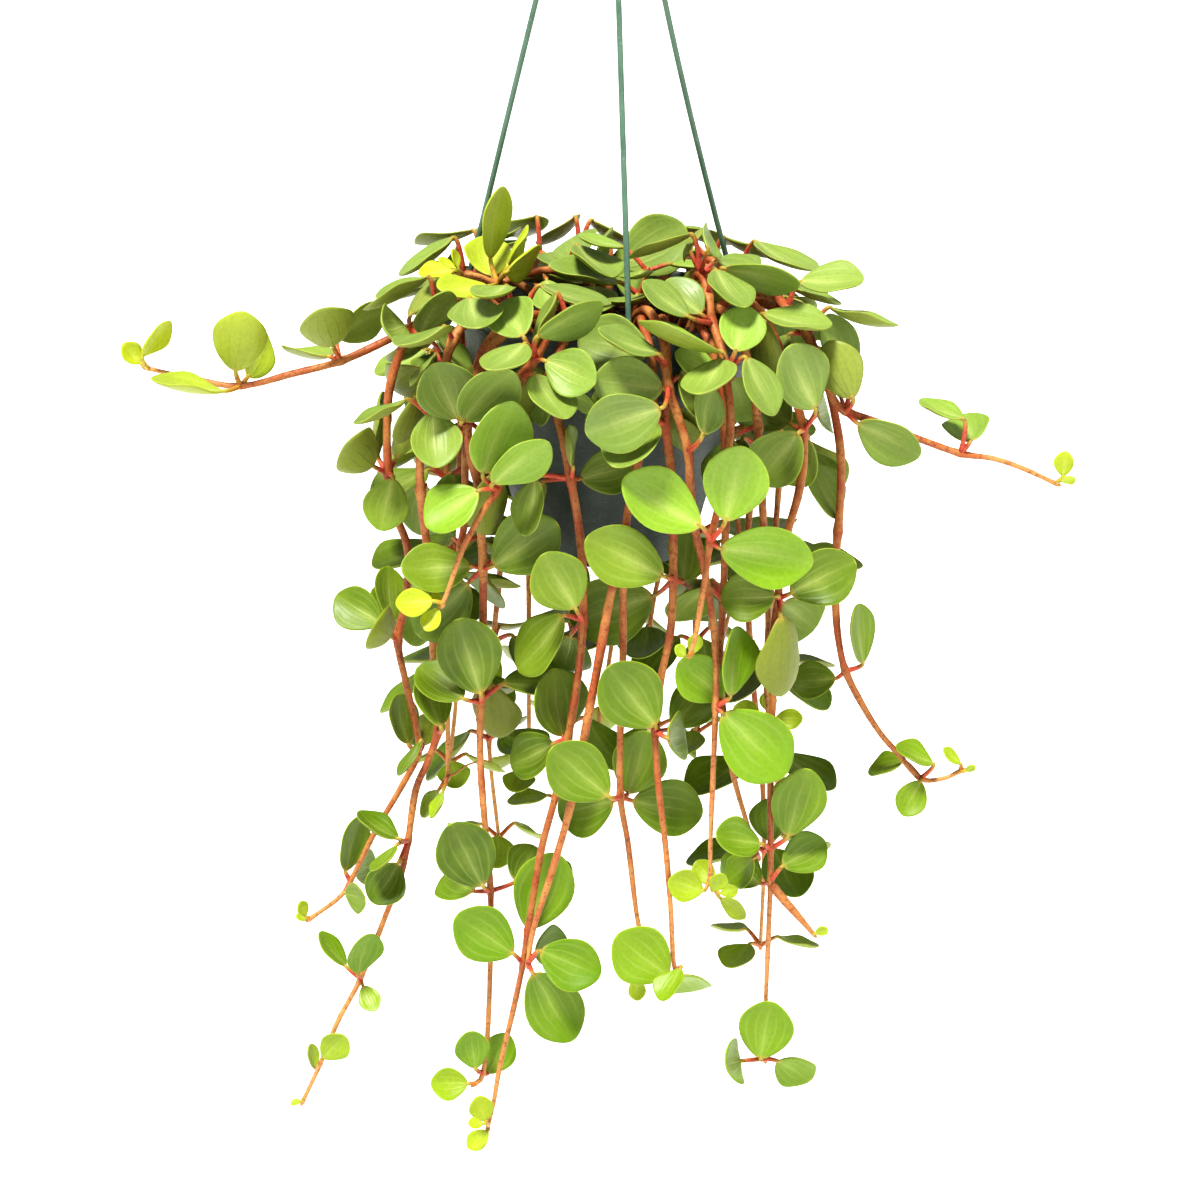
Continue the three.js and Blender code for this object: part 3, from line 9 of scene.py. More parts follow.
import bpy
import numpy as np
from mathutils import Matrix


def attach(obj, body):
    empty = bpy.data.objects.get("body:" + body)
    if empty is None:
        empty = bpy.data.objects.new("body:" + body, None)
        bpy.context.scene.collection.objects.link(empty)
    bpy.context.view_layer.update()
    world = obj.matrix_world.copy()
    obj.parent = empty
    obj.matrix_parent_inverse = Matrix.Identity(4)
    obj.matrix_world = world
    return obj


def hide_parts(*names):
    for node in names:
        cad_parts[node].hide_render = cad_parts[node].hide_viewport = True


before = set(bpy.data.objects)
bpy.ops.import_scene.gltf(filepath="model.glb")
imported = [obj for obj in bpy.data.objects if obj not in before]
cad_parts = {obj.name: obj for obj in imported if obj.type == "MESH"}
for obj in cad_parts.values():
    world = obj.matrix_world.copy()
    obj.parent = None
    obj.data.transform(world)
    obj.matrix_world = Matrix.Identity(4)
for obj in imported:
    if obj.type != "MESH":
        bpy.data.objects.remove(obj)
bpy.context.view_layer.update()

MM = 0.001

# Pot, soil and hanger
RIM_HEIGHT = -252
RIM_RADIUS = 59.5
COLLAR_RADIUS = 56.5
COLLAR_HEIGHT = 27
BODY_RADIUS = 53.5
BASE_RADIUS = 34
POT_HEIGHT = 101
WALL = 1.8
FOOT_HEIGHT = 2.5
DRAIN_RADIUS = 3.5
DRAIN_RING_RADIUS = 20
DRAIN_COUNT = 5
SOIL_DEPTH = 12
SOIL_GAP = 0.3
STEM_ROOT_DEPTH = 14
HOOK_INNER_RADIUS = 9
HOOK_ROD_RADIUS = 1.8
BLOCK_HEIGHT = 12
BLOCK_RADIUS = 6.5
BLOCK_TOP = -26
SOCKET_DEPTH = 7
STRAND_RADIUS = 1.15
STRAND_STEPS = 9
SLOT_HEIGHT = 5
SLOT_WIDTH = 4
SLOT_BELOW_RIM = 9
CLEARANCE = 0.35  # round a strand in its socket and under it in its slot
STRANDS = [(83, 0.0), (203, 0.5), (323, -3.5)]  # angle round the rim in degrees, outward bow

# Plant
STEM_RADIUS = 1.9
TIP_RADIUS = 0.85
STEM_ROUND = 0.95  # radius of the round stem as a share of the radius of the solid's corners
FULL_GROWN = 25
BLADE_WIDTH = 0.83
LONG_BLADE_WIDTH = 0.78
BLADE_CUP = 0.14
BLADE_THICKNESS = 1.45
LONG_BLADE = 33  # blades longer than this are narrower

# Seeds of the draws: where leaves grow, their small differences, and the soil's crumbs
PLACING_SEED = 20251
LEAF_SEED = 11
SOIL_SEED = 5
SOIL_CRUMBS = 300

# Stage, in metres and watts a square metre; a light shines from the side its place points to
FLOOR_HEIGHT = -1.5
FLOOR_HALF = 14.0
WORLD_LIGHT = 0.42
KEY_LIGHT = 5.7
SIDE_LIGHT = 0.7
KEY_FROM = (-0.5, -0.74, 1.9)
SIDE_FROM = (1.2, -0.8, 0.5)

# Heights in metres: a painted grey sheen on the crown's leaves, painted shade and a deeper green
# further down, and a painted highlight that is stronger higher up
PAINTED_SHEEN_HEIGHTS = (-0.36, -0.25)
SHADE_AND_DEEP_GREEN_HEIGHTS = (-0.53, -0.3)
PAINTED_HIGHLIGHT_HEIGHTS = (-0.5, -0.3)

# The front view that the stems and leaves are laid out in
VIEW_DISTANCE = 1600
VIEW_TILT = math.radians(14)
VIEW_CENTRE = (-7.2, -119.6)
EYE_ACROSS = -3.6
LENS = 120
SENSOR = 36

# Distances that keep leaves and stems of different nodes from touching
BLADE_GAP = 4.0
BLADE_STEM_GAP = 4.3
OWN_STEM_GAP = 3.2
PETIOLE_GAP = 3.4
PETIOLE_STEM_GAP = 3.8
PETIOLE_PETIOLE_GAP = 3.2
POT_GAP = 2.2
STEM_SPACING = 2.5
PETIOLE_SPACING = 2.5
SPOT_SPACING = 3.2
SPOT_ROWS = 9  # rows of spots over a blade that have to be clear
OWN_ROWS = 1  # rows at its base that may lie close to its own stem
SLIDES = [0, 3, -3, 6, -6, 9, -9, 12, -12, 16, -16, 20, -20, 24, -24]
TURNS = [0, 15, -15, 30, -30, 45, -45]
SIZES = [1, 0.88, 0.76]
FURTHEST_OUT = 19
RIM_STEP_IN = 7
RIM_STEP_UP = 5.5

# Far stems and crown shoots
BACK_STEMS = 11
BACK_FROM = 192
BACK_TO = 350
BACK_ROOT_RADIUS = 40
BACK_HANG_RADIUS = 70
BACK_LENGTHS = (190, 330)
NODE_SPACING = (38, 50)
WHORL = 3
BLADE_LENGTHS = (25, 31)
PETIOLE_LENGTHS = (9, 14)
FILL_TRIES = 5
FILL_SIZE = 0.92
RIM_BAND = 34  # how far below the rim each node of a stem is filled
EASE = 1.1  # how much closer the leaves that only this script adds may lie
CROWN_SHOOTS = [
    (10, 6, 27, 5, 6),
    (-18, 6, 24, -7, 6),
    (14, -16, 26, 6, -9),
    (32, -8, 24, 9, -5),
]

# Stems as the front view shows them. root: right and towards the viewer from the axis. route:
# across, up, towards. leaves: route point, base across and up, base towards, tip across and up,
# tip towards, turn about the blade's length in degrees
STEMS = [
    {"name": "arching_stem", "root": [-6, -18], "joins": "",
     "route": [[-5, 1, -12], [-9, 9, -8], [-20, 12, -4], [-31, 12, 0], [-42, 9, 3], [-48, 7, 5],
      [-56, 10, 7], [-63, 11, 9]],
     "leaves": [[1, -15, 18, 4, -19, 25, -24, 0], [1, -9, 17, 0, -2, 28, -14, 72],
      [1, 2, 14, 6, 27, 30, -6, 0], [1, -10, 6, 7, -10, -5, 23, 0], [5, -51, 17, -5, -46, 46, -4, 62],
      [5, -50, 10, 4, -54, 26, -18, 0], [5, -44, 14, -8, -36, 29, -16, 78],
      [5, -44, 12, -5, -32, 19, -20, 60], [5, -52, 6, 3, -72, 5, 14, 55],
      [7, -66, 12, 2, -80, 11, 3, 55], [7, -64, 13, -1, -66, 21, -2, 60], [7, -65, 13, 1, -72, 17, 0, 60]]},
    {"name": "left_reaching_stem", "root": [-34, -2], "joins": "",
     "route": [[-60, 4, 8], [-75, -7, 14], [-91, -15, 18], [-111, -24, 22], [-130, -29, 23],
      [-151, -34, 22], [-170, -31, 20], [-188, -27, 18]],
     "leaves": [[3, -114, -18, 3, -119, -3, 16, 180], [3, -112, -14, -8, -92, -3, -14, 50],
      [3, -116, -22, 0, -131, -19, -20, 82], [5, -153, -28, 3, -150, -4, 6, 180],
      [5, -158, -36, 2, -187, -31, 4, 78], [5, -148, -30, -8, -141, -12, -22, 40],
      [7, -191, -25, 1, -198, -17, 2, 10], [7, -190, -22, 1, -179, -8, -3, 60]]},
    {"name": "left_hanging_stem", "root": [-38, 18], "joins": "",
     "route": [[-57, 0, 26], [-73, -4, 31], [-82, -11, 34], [-88, -23, 36], [-92, -40, 38],
      [-92, -69, 38], [-89, -85, 38], [-84, -100, 38], [-85, -120, 37], [-88, -136, 37],
      [-85, -152, 36], [-81, -170, 36], [-80, -181, 36], [-87, -195, 38], [-97, -212, 40],
      [-107, -232, 42], [-112, -239, 42], [-123, -247, 42]],
     "leaves": [[2, -83, -6, 2, -72, 10, -16, 68], [2, -85, -10, 4, -93, -12, 22, 20],
      [2, -79, -13, 6, -68, 4, 10, 62], [2, -84, -15, -7, -84, -22, -22, 180],
      [5, -98, -66, 4, -109, -57, 18, 180], [5, -90, -71, 7, -95, -92, 8, 0],
      [5, -96, -62, -2, -94, -36, -6, 76], [5, -89, -63, -8, -80, -42, -12, 125],
      [9, -95, -129, 2, -113, -118, -12, 0], [9, -91, -134, 4, -98, -130, 20, 180],
      [9, -90, -128, -6, -92, -106, -14, 40], [12, -84, -177, 3, -88, -157, -4, 45],
      [12, -78, -178, -6, -77, -165, -20, 160], [12, -79, -176, 6, -88, -190, 8, 72],
      [15, -109, -228, 3, -103, -206, -6, 50], [15, -109, -237, 4, -101, -240, 14, 30],
      [15, -105, -229, -5, -97, -224, -18, 30], [17, -125, -246, 1, -127, -240, 1, 30],
      [17, -124, -247, 1, -129, -246, 1, 30]]},
    {"name": "left_long_stem", "root": [-30, 32], "joins": "",
     "route": [[-48, -3, 38], [-60, -8, 46], [-66, -16, 50], [-70, -28, 52], [-75, -46, 52],
      [-79, -62, 52], [-79, -76, 52], [-77, -94, 50], [-74, -115, 50], [-74, -137, 50],
      [-72, -160, 49], [-72, -172, 49], [-76, -184, 48], [-81, -196, 48], [-84, -216, 48],
      [-87, -230, 49], [-93, -246, 50], [-103, -271, 51], [-112, -288, 51], [-119, -305, 51],
      [-126, -320, 51]],
     "leaves": [[3, -73, -21, -4, -83, -34, 8, 80], [3, -79, -27, -9, -88, -37, -16, 150],
      [6, -77, -74, -7, -81, -93, -14, 20], [11, -74, -178, 4, -68, -174, -20, 20],
      [11, -71, -170, -6, -78, -150, -12, 40],
      [14, -88, -215, 3, -104, -204, -8, 58], [14, -88, -225, 7, -98, -241, 10, 0],
      [14, -89, -218, 5, -98, -228, 12, 70], [17, -109, -266, 1, -119, -252, -8, 58],
      [17, -104, -269, 5, -99, -253, 4, 35], [17, -102, -274, 3, -97, -284, 8, 0],
      [19, -118, -303, 3, -109, -294, 4, 10], [19, -121, -307, -2, -123, -297, -2, 55],
      [20, -127, -320, 1, -131, -321, -1, 40]]},
    {"name": "left_bare_stem", "root": [-26, 36], "joins": "",
     "route": [[-42, -6, 44], [-53, -18, 50], [-58, -34, 44], [-61, -62, 44], [-61, -85, 43],
      [-63, -98, 42], [-67, -125, 41], [-68, -162, 41], [-68, -190, 41]],
     "leaves": [[8, -72, -196, 2, -79, -206, -2, 55], [8, -70, -196, 1, -75, -207, 4, 70],
      [5, -66, -95, -8, -80, -99, -18, 60]]},
    {"name": "left_front_stem", "root": [-16, 30], "joins": "",
     "route": [[-38, -8, 53], [-50, -18, 60], [-57, -32, 63], [-60, -48, 63], [-59, -62, 63],
      [-56, -74, 62], [-55, -88, 61], [-54, -107, 60], [-54, -131, 60], [-55, -160, 60],
      [-55, -185, 60], [-53, -212, 60], [-51, -236, 60], [-51, -260, 61], [-52, -290, 62],
      [-54, -309, 62], [-57, -313, 62]],
     "leaves": [[3, -64, -47, 4, -74, -25, 8, 0], [3, -62, -48, 9, -42, -28, 6, 50],
      [3, -61, -44, -7, -60, -23, -16, 0], [3, -65, -58, -5, -74, -53, -20, 160],
      [7, -59, -106, 5, -87, -107, 6, 20], [7, -57, -101, -5, -78, -97, -12, 60],
      [7, -60, -113, 0, -80, -134, -4, 0], [7, -50, -106, 6, -24, -89, 4, 0],
      [7, -53, -112, -5, -53, -119, -22, 40], [9, -55, -157, 6, -64, -127, 2, 0],
      [9, -62, -159, -3, -80, -146, -10, 0], [12, -54, -234, 6, -67, -209, 3, 0],
      [12, -58, -236, -4, -70, -230, -20, 20], [12, -41, -232, -5, -33, -218, -18, 0],
      [15, -57, -307, 3, -59, -292, 3, 0], [15, -52, -309, -2, -44, -293, -3, 0],
      [16, -60, -313, 1, -75, -313, 2, 0]]},
    {"name": "forked_front_stem", "root": [-16, 43], "over": 8, "joins": "",
     "route": [[-20, -8, 65], [-27, -13, 71], [-33, -23, 72], [-38, -30, 73], [-42, -40, 74],
      [-46, -54, 73], [-49, -66, 72], [-48, -75, 73], [-54, -84, 75], [-62, -99, 76],
      [-67, -113, 76], [-70, -121, 76]],
     "leaves": [[2, -38, -14, 4, -46, 0, -22, 0], [2, -32, -14, 6, -6, -1, -4, 58],
      [2, -35, -22, -5, -53, -15, -16, 40], [2, -29, -24, 8, -9, -33, 12, 0],
      [7, -54, -69, 5, -42, -40, 4, 30], [7, -50, -73, 8, -28, -56, 4, 48],
      [7, -56, -76, 3, -77, -90, 2, 30], [7, -57, -79, -4, -72, -93, -12, 110],
      [11, -74, -120, 2, -89, -121, 3, 0], [11, -72, -123, 3, -77, -132, 4, 30],
      [11, -71, -121, -2, -75, -116, -3, 40]]},
    {"name": "pot_front_stem", "root": [-1, 31], "joins": "",
     "route": [[-16, -8, 53], [-22, -17, 66], [-27, -29, 71], [-26, -40, 72], [-22, -55, 72],
      [-19, -71, 72], [-16, -88, 71], [-14, -108, 69], [-14, -128, 67], [-16, -150, 66],
      [-20, -175, 66], [-25, -198, 67], [-31, -221, 67], [-36, -252, 67], [-38, -265, 67],
      [-42, -284, 67], [-47, -305, 67], [-50, -322, 67], [-52, -330, 67]],
     "leaves": [[2, -29, -37, 4, -31, -50, 4, 45], [2, -21, -36, 2, -9, -42, 8, 55],
      [5, -33, -71, 0, -38, -94, 4, 60], [5, -31, -73, -8, -37, -88, -12, 110],
      [5, -15, -71, 0, 7, -65, -6, 0], [5, -18, -66, 3, -20, -50, 4, 78],
      [8, -17, -123, 4, -30, -101, 4, 0], [8, -22, -126, 0, -40, -148, -4, 40],
      [8, -19, -134, -7, -22, -148, -18, 0], [10, -22, -174, 3, -26, -147, 0, 25],
      [10, -26, -177, -2, -43, -186, -8, 25], [13, -36, -251, 5, -24, -221, 0, 0],
      [13, -33, -247, -8, -20, -224, -8, 0], [14, -42, -261, 3, -65, -246, 2, 0],
      [18, -53, -328, 2, -56, -318, 2, 0], [18, -52, -332, 2, -60, -339, 2, 0],
      [18, -54, -329, 3, -60, -329, 2, 30]]},
    {"name": "centre_stem", "root": [9, 42], "joins": "",
     "route": [[10, -10, 56], [13, -20, 66], [14, -34, 71], [13, -46, 72], [9, -60, 72],
      [4, -84, 71], [3, -96, 70], [2, -118, 68], [2, -140, 67], [1, -170, 66], [1, -198, 66],
      [4, -217, 67], [7, -242, 68], [9, -256, 68], [8, -270, 68]],
     "leaves": [[10, -4, -198, 3, -27, -179, 2, 0], [10, 4, -197, 3, 12, -172, 0, 0],
      [10, 6, -200, -3, 34, -205, -4, 0], [10, -2, -200, -8, -24, -205, -16, 0],
      [14, 7, -271, 1, 8, -280, 2, 0], [14, 9, -268, -4, 3, -258, -8, 0]]},
    {"name": "centre_branch", "root": [], "joins": "centre_stem",
     "route": [[3, -95, 70], [-3, -118, 72], [-7, -140, 72], [-10, -156, 73], [-15, -182, 75],
      [-20, -206, 75], [-27, -230, 75], [-34, -252, 75], [-36, -265, 75]],
     "leaves": [[8, -31, -260, 4, -7, -270, 4, 0], [8, -34, -269, 2, -18, -296, 0, 0],
      [8, -33, -262, -6, -20, -256, -18, 0]]},
    {"name": "centre_right_stem", "root": [14, 32], "joins": "",
     "route": [[18, -7, 52], [19, -16, 63], [20, -34, 69], [19, -50, 71], [21, -66, 71],
      [22, -90, 71], [22, -111, 71], [21, -132, 71], [17, -152, 72], [15, -172, 73],
      [16, -192, 74], [19, -218, 75], [21, -242, 76], [22, -262, 76], [23, -268, 76]],
     "leaves": [[6, 18, -110, 5, -13, -95, -2, 0], [6, 14, -118, 0, -19, -129, -6, 0],
      [6, 26, -112, -7, 28, -92, -18, 30], [6, 29, -115, -3, 38, -128, -16, 30],
      [9, 15, -170, 5, -4, -146, 2, 0], [9, 5, -173, 0, -19, -155, -10, 0],
      [9, 22, -170, -5, 36, -154, -12, 0], [9, 20, -175, -5, 27, -174, -22, 0],
      [14, 20, -270, 5, -1, -254, 2, 0], [14, 24, -270, -5, 31, -276, -18, 40],
      [14, 25, -267, 3, 17, -280, 9, 45]]},
    {"name": "crown_stem", "root": [24, 14], "joins": "",
     "route": [[28, 4, 28], [33, 11, 36], [36, 2, 46], [38, -9, 57], [42, -21, 69], [43, -29, 74],
      [45, -45, 77], [44, -60, 78], [41, -78, 79], [37, -96, 80], [35, -110, 81],
      [33, -122, 82], [31, -134, 84], [29, -141, 85]],
     "leaves": [[1, 29, 20, 0, 31, 25, -20, 100], [1, 36, 21, -4, 38, 27, -24, 15],
      [1, 43, 13, 4, 73, 6, 0, 60], [3, 33, -5, -4, 20, 9, -14, 30], [3, 28, -6, 0, 10, 8, -6, 52],
      [5, 47, -20, 4, 52, -2, -20, 0], [5, 41, -20, 4, 8, -8, -6, 60],
      [5, 41, -32, 9, 17, -17, 4, 22], [5, 46, -31, -10, 52, -48, -14, 20],
      [9, 33, -90, 5, 2, -71, 2, 22], [9, 43, -88, 6, 50, -58, 2, 0],
      [9, 41, -99, 2, 78, -105, -2, 25], [13, 27, -142, 2, 23, -138, 2, 20],
      [13, 30, -141, 1, 31, -133, 0, 20], [13, 29, -143, 4, 26, -147, 7, 0]]},
    {"name": "right_front_stem", "root": [6, 24], "over": 9, "joins": "",
     "route": [[18, -15, 70], [19, -26, 75], [20, -34, 79], [24, -46, 81], [28, -60, 81],
      [29, -75, 80], [31, -92, 73], [34, -105, 71], [37, -122, 71], [39, -140, 72],
      [39, -162, 73], [38, -190, 73], [37, -215, 73], [37, -230, 73]],
     "leaves": [[2, 18, -35, 4, -10, -32, 5, 0], [2, 17, -43, -2, -13, -53, -2, 15],
      [2, 23, -39, -5, 25, -51, -10, 55], [1, 16, -21, 4, -8, -11, -2, 48],
      [1, 12, -20, -5, -20, -15, -12, 20], [4, 34, -53, -6, 38, -34, -14, 0],
      [10, 42, -159, 5, 19, -139, 2, 0], [10, 45, -158, -5, 48, -130, -8, 55],
      [10, 42, -165, 2, 67, -190, 0, 0], [13, 34, -236, 2, 20, -232, 3, 0],
      [13, 38, -236, 3, 42, -229, 2, 20], [13, 41, -237, 1, 48, -235, 1, 20],
      [13, 41, -239, 1, 51, -247, 3, 50], [13, 38, -233, -5, 31, -224, -6, 0],
      [13, 38, -236, -4, 36, -243, -6, 0]]},
    {"name": "young_tip_stem", "root": [33, 29], "joins": "",
     "route": [[42, -4, 46], [49, -14, 54], [53, -30, 58], [56, -50, 56], [58, -85, 52],
      [59, -105, 51], [60, -128, 51], [59, -150, 54], [60, -166, 58]],
     "leaves": [[3, 46, -55, 6, 36, -75, 6, 40], [8, 57, -166, 2, 46, -163, 3, 0],
      [8, 60, -164, 1, 60, -156, -1, 0], [8, 63, -167, 2, 74, -167, 3, 0],
      [8, 60, -168, 3, 61, -172, 1, 30]]},
    {"name": "right_long_stem", "root": [36, 22], "joins": "",
     "route": [[52, 0, 34], [62, -13, 42], [68, -30, 50], [73, -46, 55], [74, -52, 57],
      [74, -65, 60], [72, -78, 63], [68, -92, 65], [65, -108, 66], [64, -119, 66],
      [62, -135, 67], [62, -157, 67], [61, -175, 66], [61, -198, 65], [61, -219, 65],
      [61, -232, 65], [60, -258, 65], [59, -283, 65], [59, -303, 65]],
     "leaves": [[4, 79, -43, 5, 68, -18, 4, 28], [4, 80, -45, -6, 84, -44, -22, 0],
      [4, 72, -53, 4, 56, -73, -6, 0], [4, 76, -55, -3, 64, -72, -12, 0],
      [4, 69, -49, -5, 50, -36, -14, 0], [9, 63, -118, -5, 38, -119, -10, 0],
      [9, 69, -117, 3, 95, -104, 0, 0], [9, 66, -121, -3, 79, -131, -14, 0],
      [9, 65, -126, -6, 66, -158, -2, 130], [14, 61, -216, -7, 60, -199, -14, 0],
      [14, 68, -214, 5, 76, -187, 0, 18], [14, 57, -217, 4, 39, -214, 8, 30],
      [15, 66, -226, 3, 83, -216, -12, 0], [15, 57, -233, 0, 42, -222, -10, 0],
      [18, 57, -303, 5, 61, -280, 2, 0], [18, 49, -304, 1, 43, -305, 20, 0],
      [18, 64, -304, 1, 77, -312, -8, 30]]},
    {"name": "right_side_shoot", "root": [], "joins": "right_long_stem",
     "route": [[61, -233, 65], [65, -238, 64], [72, -246, 63], [78, -253, 62]],
     "leaves": [[3, 79, -253, 1, 84, -251, 1, 30]]},
    {"name": "right_thin_stem", "root": [40, -4], "joins": "",
     "route": [[47, 1, 4], [54, 1, 10], [64, -4, 20], [75, -13, 28], [82, -27, 33], [86, -42, 36],
      [89, -60, 38], [89, -78, 38], [88, -92, 38], [87, -106, 37], [87, -120, 36],
      [88, -134, 36], [91, -148, 36], [98, -162, 36], [105, -173, 36], [112, -181, 36],
      [121, -191, 36], [130, -191, 35], [137, -188, 34]],
     "leaves": [[1, 50, 8, -3, 40, 9, -16, 58], [1, 53, 11, -7, 47, 19, -18, 68],
      [1, 58, 9, -3, 66, 3, -18, 40], [1, 60, 2, 4, 72, 5, -14, 68], [1, 61, -2, 7, 71, 0, 10, 72],
      [8, 88, -87, 1, 77, -65, -6, 48], [12, 98, -145, 1, 96, -121, -2, 58],
      [12, 87, -151, -2, 69, -152, -6, 10], [16, 114, -184, -4, 100, -188, -6, 55],
      [16, 126, -185, 2, 111, -178, 0, 55], [16, 121, -192, 3, 114, -206, 5, 0],
      [18, 137, -185, 1, 130, -179, 0, 55], [18, 139, -188, 1, 143, -186, 1, 40]]},
    {"name": "right_reaching_stem", "root": [42, 10], "joins": "",
     "route": [[60, 3, 20], [68, -3, 30], [76, -14, 40], [81, -27, 46], [86, -39, 49],
      [91, -44, 50], [105, -49, 51], [120, -55, 51], [137, -61, 51], [150, -63, 51],
      [162, -67, 51], [175, -73, 51]],
     "leaves": [[5, 93, -31, -7, 84, -5, -8, 48], [5, 94, -39, 2, 84, -16, -6, 120],
      [5, 89, -38, 5, 85, -26, -18, 70], [5, 96, -49, 4, 121, -62, 4, 42],
      [1, 69, 1, -4, 88, -17, -10, 62], [8, 141, -56, 1, 139, -45, -22, 0],
      [8, 138, -47, -6, 121, -39, -12, 66], [11, 178, -70, 1, 179, -60, 1, 0],
      [11, 177, -72, 2, 183, -71, 3, 50]]},
    {"name": "hidden_right_stem", "root": [27, 34], "joins": "",
     "route": [[32, -9, 51], [37, -18, 59], [40, -32, 62], [43, -60, 66], [43, -90, 64],
      [42, -120, 60], [41, -150, 58], [45, -184, 58], [51, -207, 58], [56, -222, 58]],
     "leaves": [[5, 36, -115, -4, 22, -128, -10, 0], [9, 54, -223, 2, 44, -232, -8, 20]]},
]

FILL_DOWN_TO = -400
FILL_WITHIN = 88

# Nodes whose leaves are lime yellow, and nodes whose leaves are a bright fresh green
LIME_NODES = {
    ("arching_stem", 5): 0.75, ("arching_stem", 7): 1.0, ("left_reaching_stem", 5): 0.55,
    ("left_reaching_stem", 7): 1.0, ("left_reaching_stem", 3): 0.15, ("forked_front_stem", 11): 0.85,
    ("pot_front_stem", 18): 0.6, ("right_reaching_stem", 11): 0.8, ("young_tip_stem", 8): 0.5,
    ("left_long_stem", 20): 0.5, ("left_long_stem", 19): 0.35, ("right_front_stem", 13): 0.45,
    ("left_front_stem", 16): 0.3, ("right_long_stem", 18): 0.1, ("crown_stem", 13): 0.4,
    ("centre_right_stem", 14): 0.15, ("right_side_shoot", 3): 0.6, ("right_thin_stem", 18): 0.3,
}
BRIGHT_NODES = {
    ("crown_stem", 5): 0.75, ("crown_stem", 9): 0.8, ("crown_stem", 1): 0.45,
    ("forked_front_stem", 7): 0.7, ("forked_front_stem", 2): 0.4, ("right_front_stem", 10): 0.7,
    ("pot_front_stem", 14): 0.65, ("pot_front_stem", 13): 0.55, ("pot_front_stem", 18): 0.7,
    ("centre_right_stem", 14): 0.75, ("left_front_stem", 15): 0.7, ("left_front_stem", 16): 0.8,
    ("right_long_stem", 18): 0.7, ("left_long_stem", 17): 0.6, ("left_long_stem", 19): 0.75,
    ("young_tip_stem", 8): 0.8, ("centre_stem", 14): 0.5, ("centre_stem", 10): 0.3,
    ("right_long_stem", 14): 0.35, ("centre_right_stem", 9): 0.3, ("right_thin_stem", 16): 0.5,
    ("left_hanging_stem", 15): 0.45, ("right_reaching_stem", 8): 0.5,
}

UP = np.array((0.0, 0.0, 1.0))
CORNERS = ((-1, -1), (1, -1), (1, 1), (-1, 1))
SOIL_TOP = RIM_HEIGHT - SOIL_DEPTH
BASE_HEIGHT = RIM_HEIGHT - POT_HEIGHT
COLLAR_BASE = RIM_HEIGHT - COLLAR_HEIGHT
EYE = np.array((
    EYE_ACROSS,
    -VIEW_DISTANCE * math.cos(VIEW_TILT),
    RIM_HEIGHT + VIEW_DISTANCE * math.sin(VIEW_TILT),
))
EYE_PITCH = VIEW_TILT - math.atan(VIEW_CENTRE[1] / VIEW_DISTANCE)


class Stream:
    """A repeatable stream of numbers from 0 to 1: each is the last times a constant, plus one."""

    def __init__(self, seed):
        self.seed = seed

    def draw(self):
        self.seed = (self.seed * 1664525 + 1013904223) % 4294967296
        return self.seed / 4294967296

    def between(self, limits):
        return limits[0] + (limits[1] - limits[0]) * self.draw()


def unit(vector):
    return vector / np.linalg.norm(vector)


def seen(across, up, towards):
    """The point that the front view shows at across and up, this far towards the viewer."""
    right = (across - VIEW_CENTRE[0]) / VIEW_DISTANCE
    rise = (up - VIEW_CENTRE[1]) / VIEW_DISTANCE
    forward = math.cos(EYE_PITCH) + rise * math.sin(EYE_PITCH)
    reach = (-towards - EYE[1]) / forward
    climb = rise * math.cos(EYE_PITCH) - math.sin(EYE_PITCH)
    return np.array((EYE[0] + reach * right, -towards, EYE[2] + reach * climb))


class Curve:
    """A Catmull-Rom curve through points, with an extra point mirrored past each end."""

    def __init__(self, points, centripetal=False):
        self.points = np.array(points, float)
        self.spans = len(points) - 1
        self.ends = np.vstack((
            2 * self.points[0] - self.points[1],
            self.points,
            2 * self.points[-1] - self.points[-2],
        ))
        self.centripetal = centripetal

    def at(self, part):
        """The points at shares of the spans: a cubic through each span's two points."""
        place = np.atleast_1d(np.clip(part, 0, 1)) * self.spans
        span = np.minimum(np.floor(place).astype(int), self.spans - 1)
        weight = (place - span)[:, None]
        p0, p1, p2, p3 = (self.ends[span + index] for index in range(4))
        start = (p2 - p0) / 2
        end = (p3 - p1) / 2
        if self.centripetal:
            d0, d1, d2 = (
                np.sqrt(np.linalg.norm(b - a, axis=1))[:, None] for a, b in ((p0, p1), (p1, p2), (p2, p3))
            )
            start = d1 * ((p1 - p0) / d0 - (p2 - p0) / (d0 + d1) + (p2 - p1) / d1)
            end = d1 * ((p2 - p1) / d1 - (p3 - p1) / (d1 + d2) + (p3 - p2) / d2)
        square = -3 * p1 + 3 * p2 - 2 * start - end
        cube = 2 * p1 - 2 * p2 + start + end
        return p1 + start * weight + square * weight ** 2 + cube * weight ** 3

    def tangent(self, part):
        low, high = self.at(np.array((max(part - 0.0001, 0), min(part + 0.0001, 1))))
        return unit(high - low)

    def rings(self, spacing):
        """Shares close enough together, at the curve's own points and between them."""
        parts = []
        for index in range(self.spans):
            length = np.linalg.norm(self.points[index + 1] - self.points[index])
            count = max(1, math.floor(length / spacing + 0.5))
            parts += [(index + step / count) / self.spans for step in range(count)]
        return np.array(parts + [1.0])


def outline_width(angle):
    return np.sin(angle) * (1 - 0.14 * np.cos(angle))


def width_at(along):
    return outline_width(np.arccos(1 - 2 * along))


